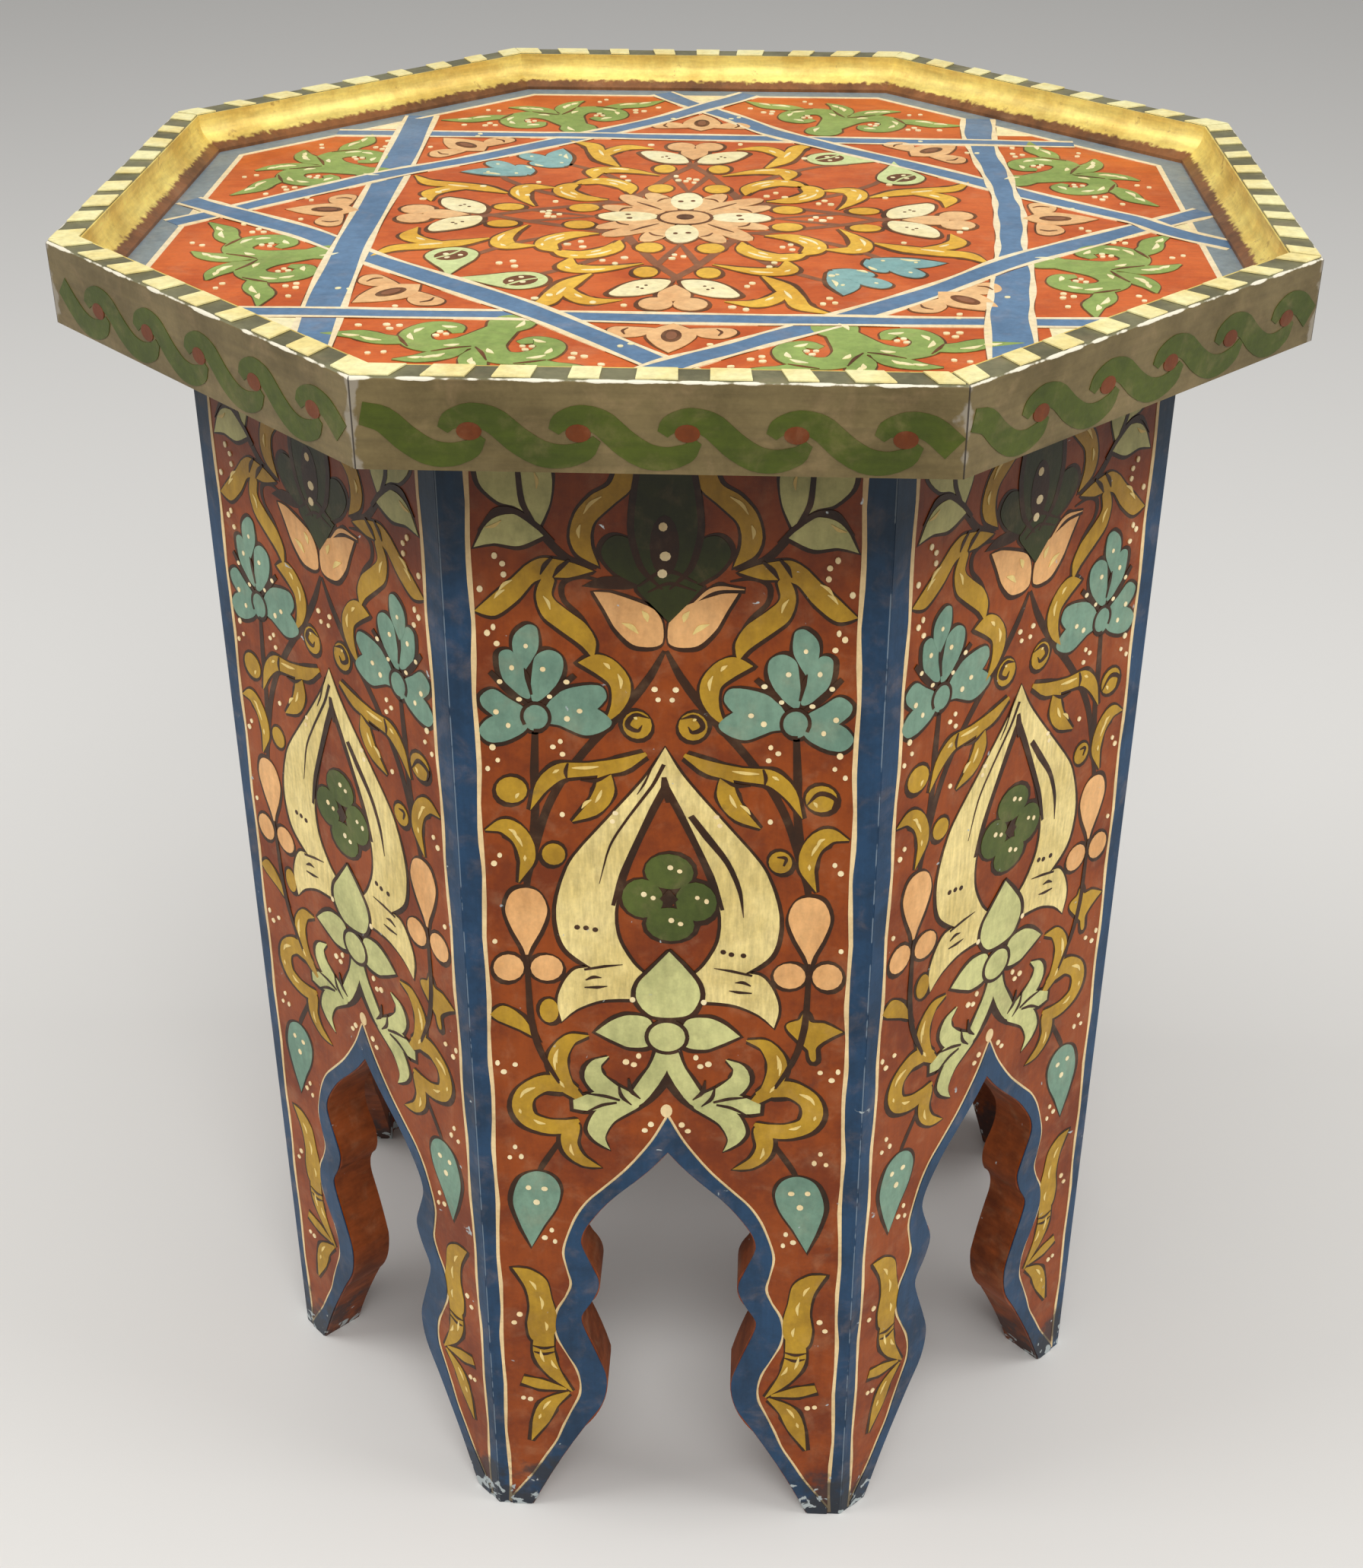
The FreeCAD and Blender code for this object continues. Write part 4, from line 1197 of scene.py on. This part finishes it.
# %% [markdown]
# A piece starts as a mesh of flat faces, and Solidify thickens it down into the wood. Marks of one
# coat that lie over one another would flicker, so each is nudged up by a few thousandths of a
# millimetre more than the one before, in nine steps. Each piece also gets a UV map with a cell for
# each side.

# %% One piece for each paint
NUDGE = 0.003
NUDGES = 9
SINK = 0.06


def lay_paint(name, pots, sheets):
    """One piece of all the marks in these pots; pots maps a pot to its paint."""
    places, maps, faces, paints, nudge, first = [], [], [], [], 0, 0
    for sheet, place in sheets:
        for drawn in sheet:
            if drawn["pot"] not in pots:
                continue
            nudge = (nudge + 1) % NUDGES
            high = COAT[drawn["coat"]] + nudge * NUDGE + drawn["lift"]
            spots, cells = place(drawn["points"], high, drawn["steady"])
            faces.extend(tuple(first + i for i in face) for face in drawn["faces"])
            paints.extend([list(pots).index(drawn["pot"])] * len(drawn["faces"]))
            places.append(spots)
            maps.append(cells)
            first += len(spots)
    mesh = bpy.data.meshes.new(name)
    mesh.from_pydata(np.concatenate(places).tolist(), [], faces)
    mesh.polygons.foreach_set("material_index", paints)
    cells = np.concatenate(maps)
    corners = np.empty(len(mesh.loops), np.int32)
    mesh.loops.foreach_get("vertex_index", corners)
    mesh.uv_layers.new(name="OFBake").data.foreach_set("uv", cells[corners].ravel())
    for pot in pots:
        mesh.materials.append(PAINTS[pots[pot]])
    piece = bpy.data.objects.new(name, mesh)
    bpy.context.scene.collection.objects.link(piece)
    bpy.ops.object.select_all(action="DESELECT")
    bpy.context.view_layer.objects.active = piece
    piece.select_set(True)
    thick = piece.modifiers.new("film", "SOLIDIFY")
    thick.thickness = (max(COAT.values()) + SINK) * MM
    thick.offset = -1
    bpy.ops.object.modifier_apply(modifier=thick.name)
    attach(piece, "root")
    print(name, len(piece.data.polygons), "faces")


print("a film of paint is", round(max(COAT.values()) + SINK, 2), "mm thick")

# %% [markdown]
# The drawing needs one last fitting. Towards the top the real ornament is a little crowded, so what
# stands above `CROWDED_FROM` is pressed down, more the higher it is. And because the corner bands
# widen upward, what lies more than `NARROWED_FROM` from the middle line is drawn inward to clear
# them. Moving each stroke by hand would do it too, but one rule keeps every curve smooth.

# %% Fit the drawing between the bands
CROWDED_FROM, CROWDING = 200, 0.000165
NARROWED_FROM = 30
for drawn in panel:
    if not drawn["steady"]:
        x, y = drawn["points"].T
        room = (corner_line(y) - NARROWED_FROM) / (corner_line(0) - NARROWED_FROM)
        beyond = np.sign(x) * np.maximum(np.abs(x) - NARROWED_FROM, 0)
        above = np.maximum(y - CROWDED_FROM, 0)
        drawn["points"] = np.column_stack([x - beyond * (1 - room), y - CROWDING * above ** 2])
widest = max(np.abs(drawn["points"][:, 0]).max() for drawn in panel)
print("the widest mark reaches", round(widest, 1), "mm from the middle line")

# %% Paint the eight panels
PANEL_SEED, PANEL_BEND = 11, 0.8
panels = []
for number in range(SIDES):
    bend = bent_by(number + PANEL_SEED, PANEL_BEND)
    panels.append((panel, on_side(number, FACE_OUT, bend)))
lay_paint("side_outlines", {"outline": "side_outline"}, panels)
lay_paint("side_bands", {"blue": "side_blue"}, panels)
lay_paint("side_creams", {"cream": "side_cream", "ivory": "side_ivory"}, panels)
lay_paint("side_ochre_leaves", {"ochre": "side_ochre"}, panels)
lay_paint("side_green_leaves", {"sage": "side_sage", "bottle": "side_bottle", "moss": "side_moss"},
    panels)
lay_paint("side_flowers", {"pink": "side_pink", "sky": "side_sky"}, panels)
lay_paint("side_light_touches", {"touch": "light_touch", "gleam": "side_gleam"}, panels)

# %% [markdown]
# ## The tabletop
# The tray's floor carries an interlace: eight bands that weave over and under one another into an
# eight-pointed star. The painter laid them freehand: two are much broader than the rest, and the
# right one wavers. Each band is a row of points with one width, or a width of its own at each point,
# and a list says which band passes over which.

# %% The bands of the star
BANDS = {
    "left": (5.0, [(-105, 125), (-103.5, 50), (-103, -20), (-101.5, -75), (-97.8, -133)]),
    "right": (5.0, [
        (102.6, 129, 4.6), (101, 103, 5.0), (101.4, 79, 4.3), (103.1, 54, 3.7), (103.7, 31, 3.5),
        (103.9, 13, 3.6), (102.7, -9, 3.6), (100.9, -31, 3.8), (99.9, -49, 4.5), (97.3, -75, 5.4),
        (94.7, -98, 5.8), (92.6, -138, 5.6)]),
    "back": (3.2, [(-132, 98.5), (-60, 98.5), (0, 97.5), (60, 95.5), (134, 93.5)]),
    "front": (3.3, [(-128, -102), (-50, -101.5), (0, -102.5), (60, -102.5), (129, -101)]),
    "front_left": (4.2, [
        (-165, 9), (-148, -4.5), (-120, -25), (-93, -52), (-65, -76), (-38.5, -100), (-3, -138),
        (4, -146), (18, -164)]),
    "front_right": (3.9, [
        (-18, -164), (-3, -145), (10, -133), (26, -119), (55, -94), (78, -71), (100, -46), (130, -20),
        (152, -2), (167, 10)]),
    "back_right": (3.7, [
        (170, -27), (152, -12), (143, 0), (112, 27), (80, 58), (50, 84), (28, 104), (12, 126),
        (-2, 143), (-17, 164)]),
    "back_left": (3.7, [
        (17, 164), (1, 143), (-20, 118), (-50, 90), (-80, 63), (-100, 47), (-122, 26), (-145, 2),
        (-164, -17)]),
}
PASSES_OVER = [
    ("front", "left"), ("right", "front"), ("back", "right"), ("left", "back"), ("front_left", "front"),
    ("front", "front_right"), ("front_right", "right"), ("right", "back_right"), ("back_right", "back"),
    ("back", "back_left"), ("back_left", "left"), ("left", "front_left"), ("front_right", "front_left"),
    ("back_right", "front_right"), ("back_left", "back_right"), ("front_left", "back_left")]
print(len(BANDS), "bands and", len(PASSES_OVER), "crossings")

# %% [markdown]
# Each band could be cut where it dips under another, but whole bands are simpler. So at a crossing
# the upper band's paint is lifted a little and covers the lower one, as a second coat does.

# %% Weave the star
LINE_HALF, EDGE_DARK = 0.85, 1.5
STAR_LIFT, CROSSING_LIFT, CROSSING_REACH = 0.07, 0.13, 9.0
star = []
paths = {name: smooth([row if len(row) == 3 else (*row, half) for row in rows], steps=18)
         for name, (half, rows) in BANDS.items()}
lines = {name: path[:, :2] for name, path in paths.items()}
lifts = {name: np.full(len(line), STAR_LIFT) for name, line in lines.items()}
for upper, lower in PASSES_OVER:
    gaps = np.linalg.norm(lines[upper][:, None] - lines[lower][None], axis=2)
    spot = lines[upper][np.unravel_index(gaps.argmin(), gaps.shape)[0]]
    away = np.linalg.norm(lines[upper] - spot, axis=1)
    nearness = np.clip(2 - away / CROSSING_REACH, 0, 1)
    lifts[upper] = np.maximum(lifts[upper], STAR_LIFT + CROSSING_LIFT * nearness)
for number, (name, line) in enumerate(lines.items()):
    run = np.arange(len(line))
    half = paths[name][:, 2] + 0.3 * np.sin(run * 0.13 + number)
    ribbon(star, "outline", "under", line, half + EDGE_DARK, True, lifts[name])
    ribbon(star, "blue", "band", line, half, True, lifts[name])
    for side in (-1, 1):
        edge = line + sideways(line) * (side * (half + 0.6))[:, None]
        width = LINE_HALF + 0.25 * np.sin(run * 0.31 + number + side)
        ribbon(star, "cream", "line", edge, width, True, lifts[name])
print("star", len(star), "marks")

# %% [markdown]
# Round the star runs a grey-blue border with a cream line inside it. The bands' ends pass over both.
# Where two bands meet the border, a cream triangle fills the gap. All are worked out from their
# distance to the middle, because this part of the real tray is regular.

# %% Border and cream triangles
BORDER_IN = 160.6


def octagon(apothem):
    turn = (np.arange(SIDES) + 0.5) * TURN
    return np.stack([np.cos(turn), np.sin(turn)], 1) * apothem / math.cos(TURN / 2)


def frame_of(pot, coat, inside, outside):
    ring = np.concatenate([octagon(inside), octagon(outside)])
    mark(star, pot, coat, ring, [
        (i, SIDES + i, SIDES + (i + 1) % SIDES, (i + 1) % SIDES) for i in range(SIDES)], True)


frame_of("border", "band", BORDER_IN, COVE_TOE + 0.3)
frame_of("cream", "line", BORDER_IN - 1.4, BORDER_IN + 0.4)
for number in range(SIDES):
    tri = []
    patch(tri, "ivory", [(0, 148.4), (11.6, 160), (-11.6, 160)], "band", (0, 1, 2), 0, True, 2)
    star += turned(tri, number * TURN)
print("border and triangles", len(star), "marks")

# %% [markdown]
# The eight outer cells hold a green arabesque: a trunk that parts into two scrolls with a leaf below
# and a leaf to each side. Each is drawn pointing outwards (away from the centre along +Y) and turned
# into place. The eight small triangles hold a pink flower with a dark eye.

# %% Arabesques and eyed flowers
THIN = 0.6
arm = []
stroke(arm, "green", [
    (0.8, 117, 2.6), (1.6, 127, 3.9), (3.4, 137, 4.7), (9, 143, 4.7), (15.6, 142.4, 4.6),
    (19.8, 136.5, 4.4), (18.6, 129.6, 4.0), (13, 127.6, 3.1), (9.6, 131.4, 1.4)], rim=THIN)
stroke(arm, "green", [(17, 142, 2.2), (26, 144.4, 3.7), (34, 143.6, 3.4), (44, 147, 0.2)], rim=THIN)
stroke(arm, "green", [(2.5, 139, 1.6), (4.2, 147, 3.9), (9, 153.6, 3.0), (15, 157, 0.2)], rim=THIN)
dark_lines(arm, "vein",
    [(16.4, 146.6, 0.2), (20, 143.4, 0.6), (23, 140.4, 0.2)],
    [(0.6, 139.4, 0.2), (4.4, 142.6, 0.6), (8.6, 147.4, 0.2)])
gleams(arm, [
    (17.6, 141.6, 3.6, -4.4), (20.4, 136.4, -0.4, -4.6), (25.4, 145.4, 7, -0.4), (33, 144.4, 5, 1),
    (4.2, 147.5, 2.6, 4.4), (8.4, 152, 3.4, 2.2), (6, 149.6, 2.4, 3.4), (12, 127.4, 4.4, 0.8),
    (4.4, 139.4, 3.4, 2.6)], 0.85)
dots(arm, [(12, 133.5), (14, 135.6), (14.4, 132.6)], 0.9)
dots(arm, [(28.5, 136), (31, 133.5), (27.4, 132.6)], 0.95)
dots(arm, [(20, 153), (23.5, 155.5), (38, 137)], 0.95)
trunk = []
patch(trunk, "green", [
    (0, 111), (5, 113), (6.6, 118.5), (4.6, 124), (3.4, 131), (-3.4, 131), (-4.6, 124), (-6.6, 118.5),
    (-5, 113)], rim=THIN)
gleams(trunk, [(-2.4, 115, -0.6, 6)], 0.8)
arabesque = arm + mirrored(arm) + trunk

petal = []
patch(petal, "pink", [
    (4, 111.8), (10.4, 110.4), (16.4, 110.6), (18, 114.4), (14.4, 118.8), (9, 118.2), (6, 115)],
    rim=THIN)
dark_lines(petal, "vein", [(12.4, 111.4, 0.2), (13.8, 113.8, 0.45), (13, 116.8, 0.2)])
eyed_flower = petal + mirrored(petal)
patch(eyed_flower, "pink", [
    (0, 107), (3.8, 110.4), (6.4, 113.6), (6.8, 118.6), (4, 125.4), (0, 131), (-4, 125.4), (-6.8, 118.6),
    (-6.4, 113.6), (-3.8, 110.4)], "over", (0, 5), THIN)
ball(eyed_flower, "outline", 0, 117.5, 2.9, 5.2, "vein", 0)
ball(eyed_flower, "stem", 0, 117.5, 1.6, 3.4, "touch", 0, 10)
dots(eyed_flower, [(10.6, 124.6), (-11, 124), (13.4, 126.6)], 0.9)
for number in range(SIDES):
    star += turned(arabesque, (number + 0.5) * TURN) + turned(eyed_flower, number * TURN)
print("outer cells", len(star), "marks")

# %% [markdown]
# The middle is a large rosette. Round a pink disc stand four blunt cream petals and four lobed pink
# ones, and each quarter has the same ochre crescents, curling leaves, cream ellipses and pink trefoil.
# Thin stems of a shade near the ground cross behind them. One quarter is drawn and turned three
# times. The whole is then shifted a little, as it isn't quite in the middle of the real tray.

# %% The rosette
QUARTER_STEMS = [
    [(17, 18, 1.0), (15.8, 25, 1.6), (11.5, 36.3, 1.5), (5.9, 50.9, 1.4), (0, 62, 1.4),
     (-3.5, 69.5, 1.0)],
    [(0.5, 27, 0.5), (-2.8, 38, 1.1), (-6.5, 51, 1.2)],
    [(17, 24, 0.9), (26, 46, 1.4), (42, 62, 1.2), (54, 66, 0.7)]]
quarter = []
for rows in QUARTER_STEMS:
    stroke(quarter, "stem", rows, "under", 0)
ball(quarter, "ochre", 9.5, 33, 4.3, 4.9)
ball(quarter, "ochre", 9.4, 57.6, 3.7, 5.0)
stroke(quarter, "ochre", [
    (19, 26, 0.2), (20.3, 34, 3.0), (26.6, 40.6, 3.6), (34, 41.4, 2.8), (39.5, 36.5, 0)], gleam=0.25)
stroke(quarter, "ochre", [(29, 21, 0), (37, 23.4, 2.7), (41, 29.6, 3.2), (38, 36.5, 0.9)], gleam=0.2)
stroke(quarter, "ochre", [
    (10.4, 49.2, 0), (18.4, 53.4, 1.7), (26.4, 55.8, 3.4), (32.8, 53.4, 3.6), (32.6, 44.4, 0.3)],
    gleam=0.25)
stroke(quarter, "ochre", [
    (25.5, 60, 0.4), (31, 69, 2.9), (34.6, 79.5, 3.0), (37.2, 88, 2.6), (45.5, 94, 0.2)], gleam=0.2)
stroke(quarter, "ochre", [(32, 73, 1.4), (29, 81, 2.8), (23.6, 85.6, 3.0), (14.6, 84, 0)], gleam=0.2)
patch(quarter, "ivory", [
    (1.5, 66.5), (5, 64.6), (11, 66), (15.5, 70.5), (19, 78.2), (16.7, 80.6), (10.4, 79.7), (4.2, 75)],
    "over")
dots(quarter, [(8.6, 70.6), (11, 72.4), (9.6, 73.6)], 0.6, "outline", "vein")
ball(quarter, "pink", 5, 87, 5.0, 5.5, "over")
quarter += mirrored(quarter)
patch(quarter, "pink", [(0, 69.5), (4.6, 77), (4.2, 84.4), (-4.2, 84.4), (-4.6, 77)], "over", (0, 2, 3))
patch(quarter, "ivory", [
    (0, 8.4), (3.6, 11), (5.2, 16.5), (4.7, 22.6), (1.8, 27.4), (-1.8, 27), (-4.8, 22.6), (-5.2, 16.5),
    (-3.5, 11)], "over")
dots(quarter, [(-2, 17.5), (2, 18.2)], 0.85, "outline", "vein")
dots(quarter, [(-1.4, 42), (2, 44), (1.4, 40.4)], 0.95)

forked = []
stroke(forked, "pink", [
    (2, 8, 1.8), (5.4, 15, 3.6), (8, 21, 3.7), (9.4, 26.4, 2.6), (9.6, 28.6, 0.9)], rim=THIN)
stroke(forked, "pink", [
    (-2, 8, 1.8), (-5.4, 15, 3.6), (-8.4, 20.6, 3.7), (-10, 25.2, 2.6), (-10.4, 27.4, 0.9)], rim=THIN)
stroke(forked, "pink", [
    (0, 9, 1.8), (0, 17, 3.9), (0.8, 24.5, 3.8), (1.8, 30.4, 2.6), (2.2, 32.6, 0.9)], "over", THIN)
dark_lines(forked, "vein",
    [(0, 11, 0.2), (0.2, 17, 0.6), (0, 23, 0.2)],
    [(5.4, 19, 0.2), (8.4, 20, 0.5), (11, 19.4, 0.2)],
    [(-5, 19.6, 0.2), (-8, 20.4, 0.5), (-11, 19, 0.2)])

ROSETTE_SHIFT = (-1, -3)
rosette = []
for number in range(4):
    rosette += turned(quarter, number * math.pi / 2) + turned(forked, (number + 0.5) * math.pi / 2)
ball(rosette, "pink", 0.3, -0.8, 8.7, 7.8, "vein")
ball(rosette, "outline", 0.3, -0.3, 2.9, 3.1, "touch", 0)
turn = np.linspace(0, math.tau, 15)
dark_lines(rosette, "touch", [(0.3 + 8.6 * math.cos(t), -0.8 + 7.8 * math.sin(t), 0.55) for t in turn])
for drawn in rosette:
    drawn["points"] = drawn["points"] + ROSETTE_SHIFT
print("rosette", len(rosette), "marks")

# %% [markdown]
# Two corners of the middle hold pairs of pale green drops with dark hearts, the other two hold light
# blue flowers. Dots in twos and threes are scattered between, placed one by one as on the real table.

# %% Drops, light blue flowers and dots
drop = []
patch(drop, "sage", [
    (0.8, 97), (5.5, 88), (9, 80), (14, 75), (21, 76), (24.5, 82), (22, 89), (14.5, 91.8), (7, 93.5)],
    sharp=(0,))
ball(drop, "outline", 16.8, 83, 4.6, 5.6, "over", 0)
dots(drop, [(14.7, 81), (15.5, 85.5), (18.6, 83.6)], 0.8)
stroke(drop, "sage", [(19, 76.5, 0.3), (17.4, 83, 0.5), (17.6, 89.5, 0.3)], "vein", 0)
bell = []
patch(bell, "sky", [(7.5, 71.5), (3, 74.5), (0.8, 81), (3.3, 84.3), (8.5, 79)], sharp=(0,))
patch(bell, "sky", [(8, 72.5), (14, 75.5), (19, 81.5), (22.5, 90.5), (14.5, 89), (9, 83)], sharp=(3,))
patch(bell, "sky", [(7.5, 79), (11.3, 86), (9.8, 93.5), (5, 93.6), (3.8, 87)], coat="over")
dots(bell, [(10, 76), (16, 84), (7.5, 89.5)], 0.6)
gleams(bell, [(15, 78.6, 3.4, 5), (2.6, 77, -0.6, 4)], 0.7)
for number, pair in ((1, bell), (3, drop), (5, bell), (7, drop)):
    star += turned(pair + mirrored(pair), number * TURN)
TOP_DOTS = [
    (25, 22), (28, 26), (31, 21), (-6, 45), (-5, 40), (-1.5, 42), (42, 14), (44, 17.5), (46, 13.5),
    (43.5, -5), (45.5, -2), (30.5, -34), (33, -31.5), (33.5, -36.5), (-24, 44), (-22, 39), (-47, 1),
    (-45, 2), (-45, -4), (-32, -31), (-36, -34), (-31, -36.5), (-55, -54), (-51, -52), (-50, -57),
    (-37, -84), (-41, -87), (44, -83), (45.5, -87), (42, -88), (-24, -50), (-20, -53), (-17.5, -47),
    (28, -50), (26.5, -54), (-15, -92), (-24, -90), (16, -92), (20, -94), (21.5, -70), (20, -73),
    (45, -62), (-44, 13), (-52, 36), (-54, 20), (68, -28), (64, 22), (66, 38), (-70, 30), (88, -12),
    (86, -16), (-88, 14), (-84, 22), (15, 88), (-17, 86), (38, 70)]
dots(star, TOP_DOTS, 1.05)
print(len(TOP_DOTS), "dots on the tray")

# %% [markdown]
# All of it is laid on the tray's floor. The star's bands are steady, and the rest bends a little.

# %% Paint the tabletop
TOP_SEED, TOP_BEND = 3, 0.6
level = on_level(TRAY_FLOOR, bent_by(TOP_SEED, TOP_BEND))
sheets = [(star, level), (rosette, level)]
lay_paint("top_outlines", {"outline": "top_outline", "stem": "top_stem"}, sheets)
lay_paint("top_bands", {"blue": "top_blue", "border": "top_border"}, sheets)
lay_paint("top_creams", {"cream": "top_cream", "ivory": "top_ivory"}, sheets)
lay_paint("top_ochre_leaves", {"ochre": "top_ochre"}, sheets)
lay_paint("top_green_leaves", {"green": "top_green", "sage": "top_sage"}, sheets)
lay_paint("top_flowers", {"pink": "top_pink", "sky": "top_sky"}, sheets)
lay_paint("top_light_touches", {"touch": "top_ivory", "gleam": "top_ivory"}, sheets)

# %% [markdown]
# ## The rim and the edging
# On the flat top of each edging strip nine cream checks alternate with the dark ground, cut a little
# askew. On its face a green wave rolls to the right with a red dot under each crest, its last crest
# cut off by the mitre. One strip could be copied eight times, but the painter did each strip anew,
# so each throws its own seeded dice for where its checks and crests fall.

# %% Checks for the rim
CHECKS = 17
CHECK_IN, CHECK_OUT = RIM_IN + 0.2, RIM_OUT - 0.85
CUT_SLIP, CHECK_LEAN = 0.02, 0.008


def checks_of(dice):
    """The cream checks on one strip's flat top, each edge cut a little off its place."""
    checks = []
    for step in range(0, CHECKS, 2):
        cuts = []
        for edge in (step, step + 1):
            cut = (edge / CHECKS * 2 - 1) + dice.uniform(-CUT_SLIP, CUT_SLIP)
            cuts.append(min(1, max(-1, cut)))
        lean = dice.uniform(-CHECK_LEAN, CHECK_LEAN)
        corners = [
            (cuts[0], CHECK_IN), (cuts[1], CHECK_IN), (cuts[1] + lean, CHECK_OUT),
            (cuts[0] + lean, CHECK_OUT)]
        quad = np.array([(-share * (out * SPREAD), out) for share, out in corners])
        mitre = quad[:, 1] * SPREAD
        quad[:, 0] = np.clip(quad[:, 0], -mitre, mitre)
        mark(checks, "check", "band", quad, [(0, 1, 2, 3)])
    return checks


print((CHECKS + 1) // 2, "cream checks on each strip")

# %% A wave with red dots
CRESTS, WAVE_STEP, WAVE_START, WAVE_END = 6, 27.3, -76.0, 76.0
WAVE_ROWS = [
    (-6.4, 10.8, 1.5), (-4.4, 13.3, 2.5), (0.6, 14.9, 3.0), (6.4, 13.2, 3.5), (12, 8.2, 3.6),
    (17.4, 4.9, 3.5), (23, 4.2, 3.1), (28.4, 5.9, 2.5), (31.2, 9, 1.2)]
DOT_UP, DOT_ROOM = 10.8, 3


def wave_of(dice):
    """The running wave on one strip's face; each crest is a little longer or shorter."""
    wave = []
    slide = dice.uniform(-1.5, 1.5)
    for crest in range(CRESTS):
        x = WAVE_START + crest * WAVE_STEP + slide
        grow = dice.uniform(0.94, 1.05)
        rows = [(x + across * grow, RIM_FOOT + up, half) for across, up, half in WAVE_ROWS
                if abs(x + across * grow) < WAVE_END]
        stroke(wave, "green", rows, "body", 0)
        if abs(x) < WAVE_END - DOT_ROOM:
            ball(wave, "red", x, RIM_FOOT + DOT_UP + dice.uniform(-0.5, 0.5), 3.2, 2.4, "over", 0)
    return wave


print("crests stand", WAVE_STEP, "mm apart")

# %% Paint the rim
RIM_SEED, WAVE_SEED, WAVE_BEND = 40, 70, 0.5
UNBENT = bent_by(1, 0)
rim_sheets, fascia_sheets = [], []
for number in range(SIDES):
    dice = random.Random(number + RIM_SEED)
    checks = turned(checks_of(dice), number * TURN - math.pi)
    rim_sheets.append((checks, on_level(RIM_TOP, UNBENT)))
    bend = bent_by(number + WAVE_SEED, WAVE_BEND)
    fascia_sheets.append((wave_of(dice), on_side(number, RIM_OUT, bend)))
lay_paint("rim_checks", {"check": "rim_cream"}, rim_sheets)
lay_paint("rim_waves", {"green": "rim_green", "red": "rim_red"}, fascia_sheets)

# %% [markdown]
# ## Light and floor
# A pale floor, one large soft lamp above, a soft box in front and one to each side, and a dim even
# world: paint then shows about as bright as it was mixed, and the varnish has something to reflect.
# One lamp alone would leave black shadows. These hang high, so the tray's overhang still shades the
# top of the sides.

# %% Floor, lamps and world
FLOOR_SIZE = 14.0
bpy.ops.object.select_all(action="DESELECT")
bpy.ops.mesh.primitive_plane_add(size=FLOOR_SIZE, location=(0, 3, 0))
floor = bpy.context.object
floor.name = "floor"
floor.data.transform(floor.matrix_world)
floor.matrix_world = Matrix.Identity(4)
floor_finish, floor_tree = new_material("pale_floor")
floor_inputs = {"Base Color": colour(226, 224, 220), "Roughness": 0.9}
floor_shader = add(floor_tree, "ShaderNodeBsdfPrincipled", floor_inputs)
floor_tree.links.new(floor_shader.outputs[0], add(floor_tree, "ShaderNodeOutputMaterial").inputs[0])
floor.data.materials.append(floor_finish)
floor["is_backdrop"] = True

LOOKED_AT = Vector((0, 0, 0.25))


def area_lamp(name, place, size, power):
    lamp = bpy.data.lights.new(name, "AREA")
    lamp.size = size
    lamp.energy = power
    holder = bpy.data.objects.new(name, lamp)
    bpy.context.scene.collection.objects.link(holder)
    holder.location = place
    holder.rotation_euler = (LOOKED_AT - Vector(place)).to_track_quat("-Z", "Y").to_euler()


LAMPS = {
    "overhead": ((-0.3, -0.4, 2.4), 1.8, 10),
    "front_box": ((0.3, -1.9, 2.1), 1.4, 28),
    "left_box": ((-1.9, -0.3, 1.7), 1.3, 19),
    "right_box": ((1.9, -0.3, 1.7), 1.3, 19),
}
for name, (place, size, power) in LAMPS.items():
    area_lamp(name, place, size, power)
WORLD_LIGHT = 0.36
world = bpy.data.worlds.new("studio")
world.use_nodes = True
world.node_tree.nodes["Background"].inputs[0].default_value = (1, 1, 1, 1)
world.node_tree.nodes["Background"].inputs[1].default_value = WORLD_LIGHT
bpy.context.scene.world = world
bpy.context.scene.view_settings.view_transform = "Standard"
print(len(LAMPS), "lamps of", sum(power for _, _, power in LAMPS.values()), "watts together")

# %% [markdown]
# ## Last checks
# Paint adds half a millimetre at the most, so the dressed table must fill the same box as the packed
# one. What was gained is printed.

# %% Compare the boxes and finish
shown_low, shown_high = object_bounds()
grown = (shown_high - shown_low) - (cad_high - cad_low)
print("grown by", [round(gain / MM, 2) for gain in grown], "mm")
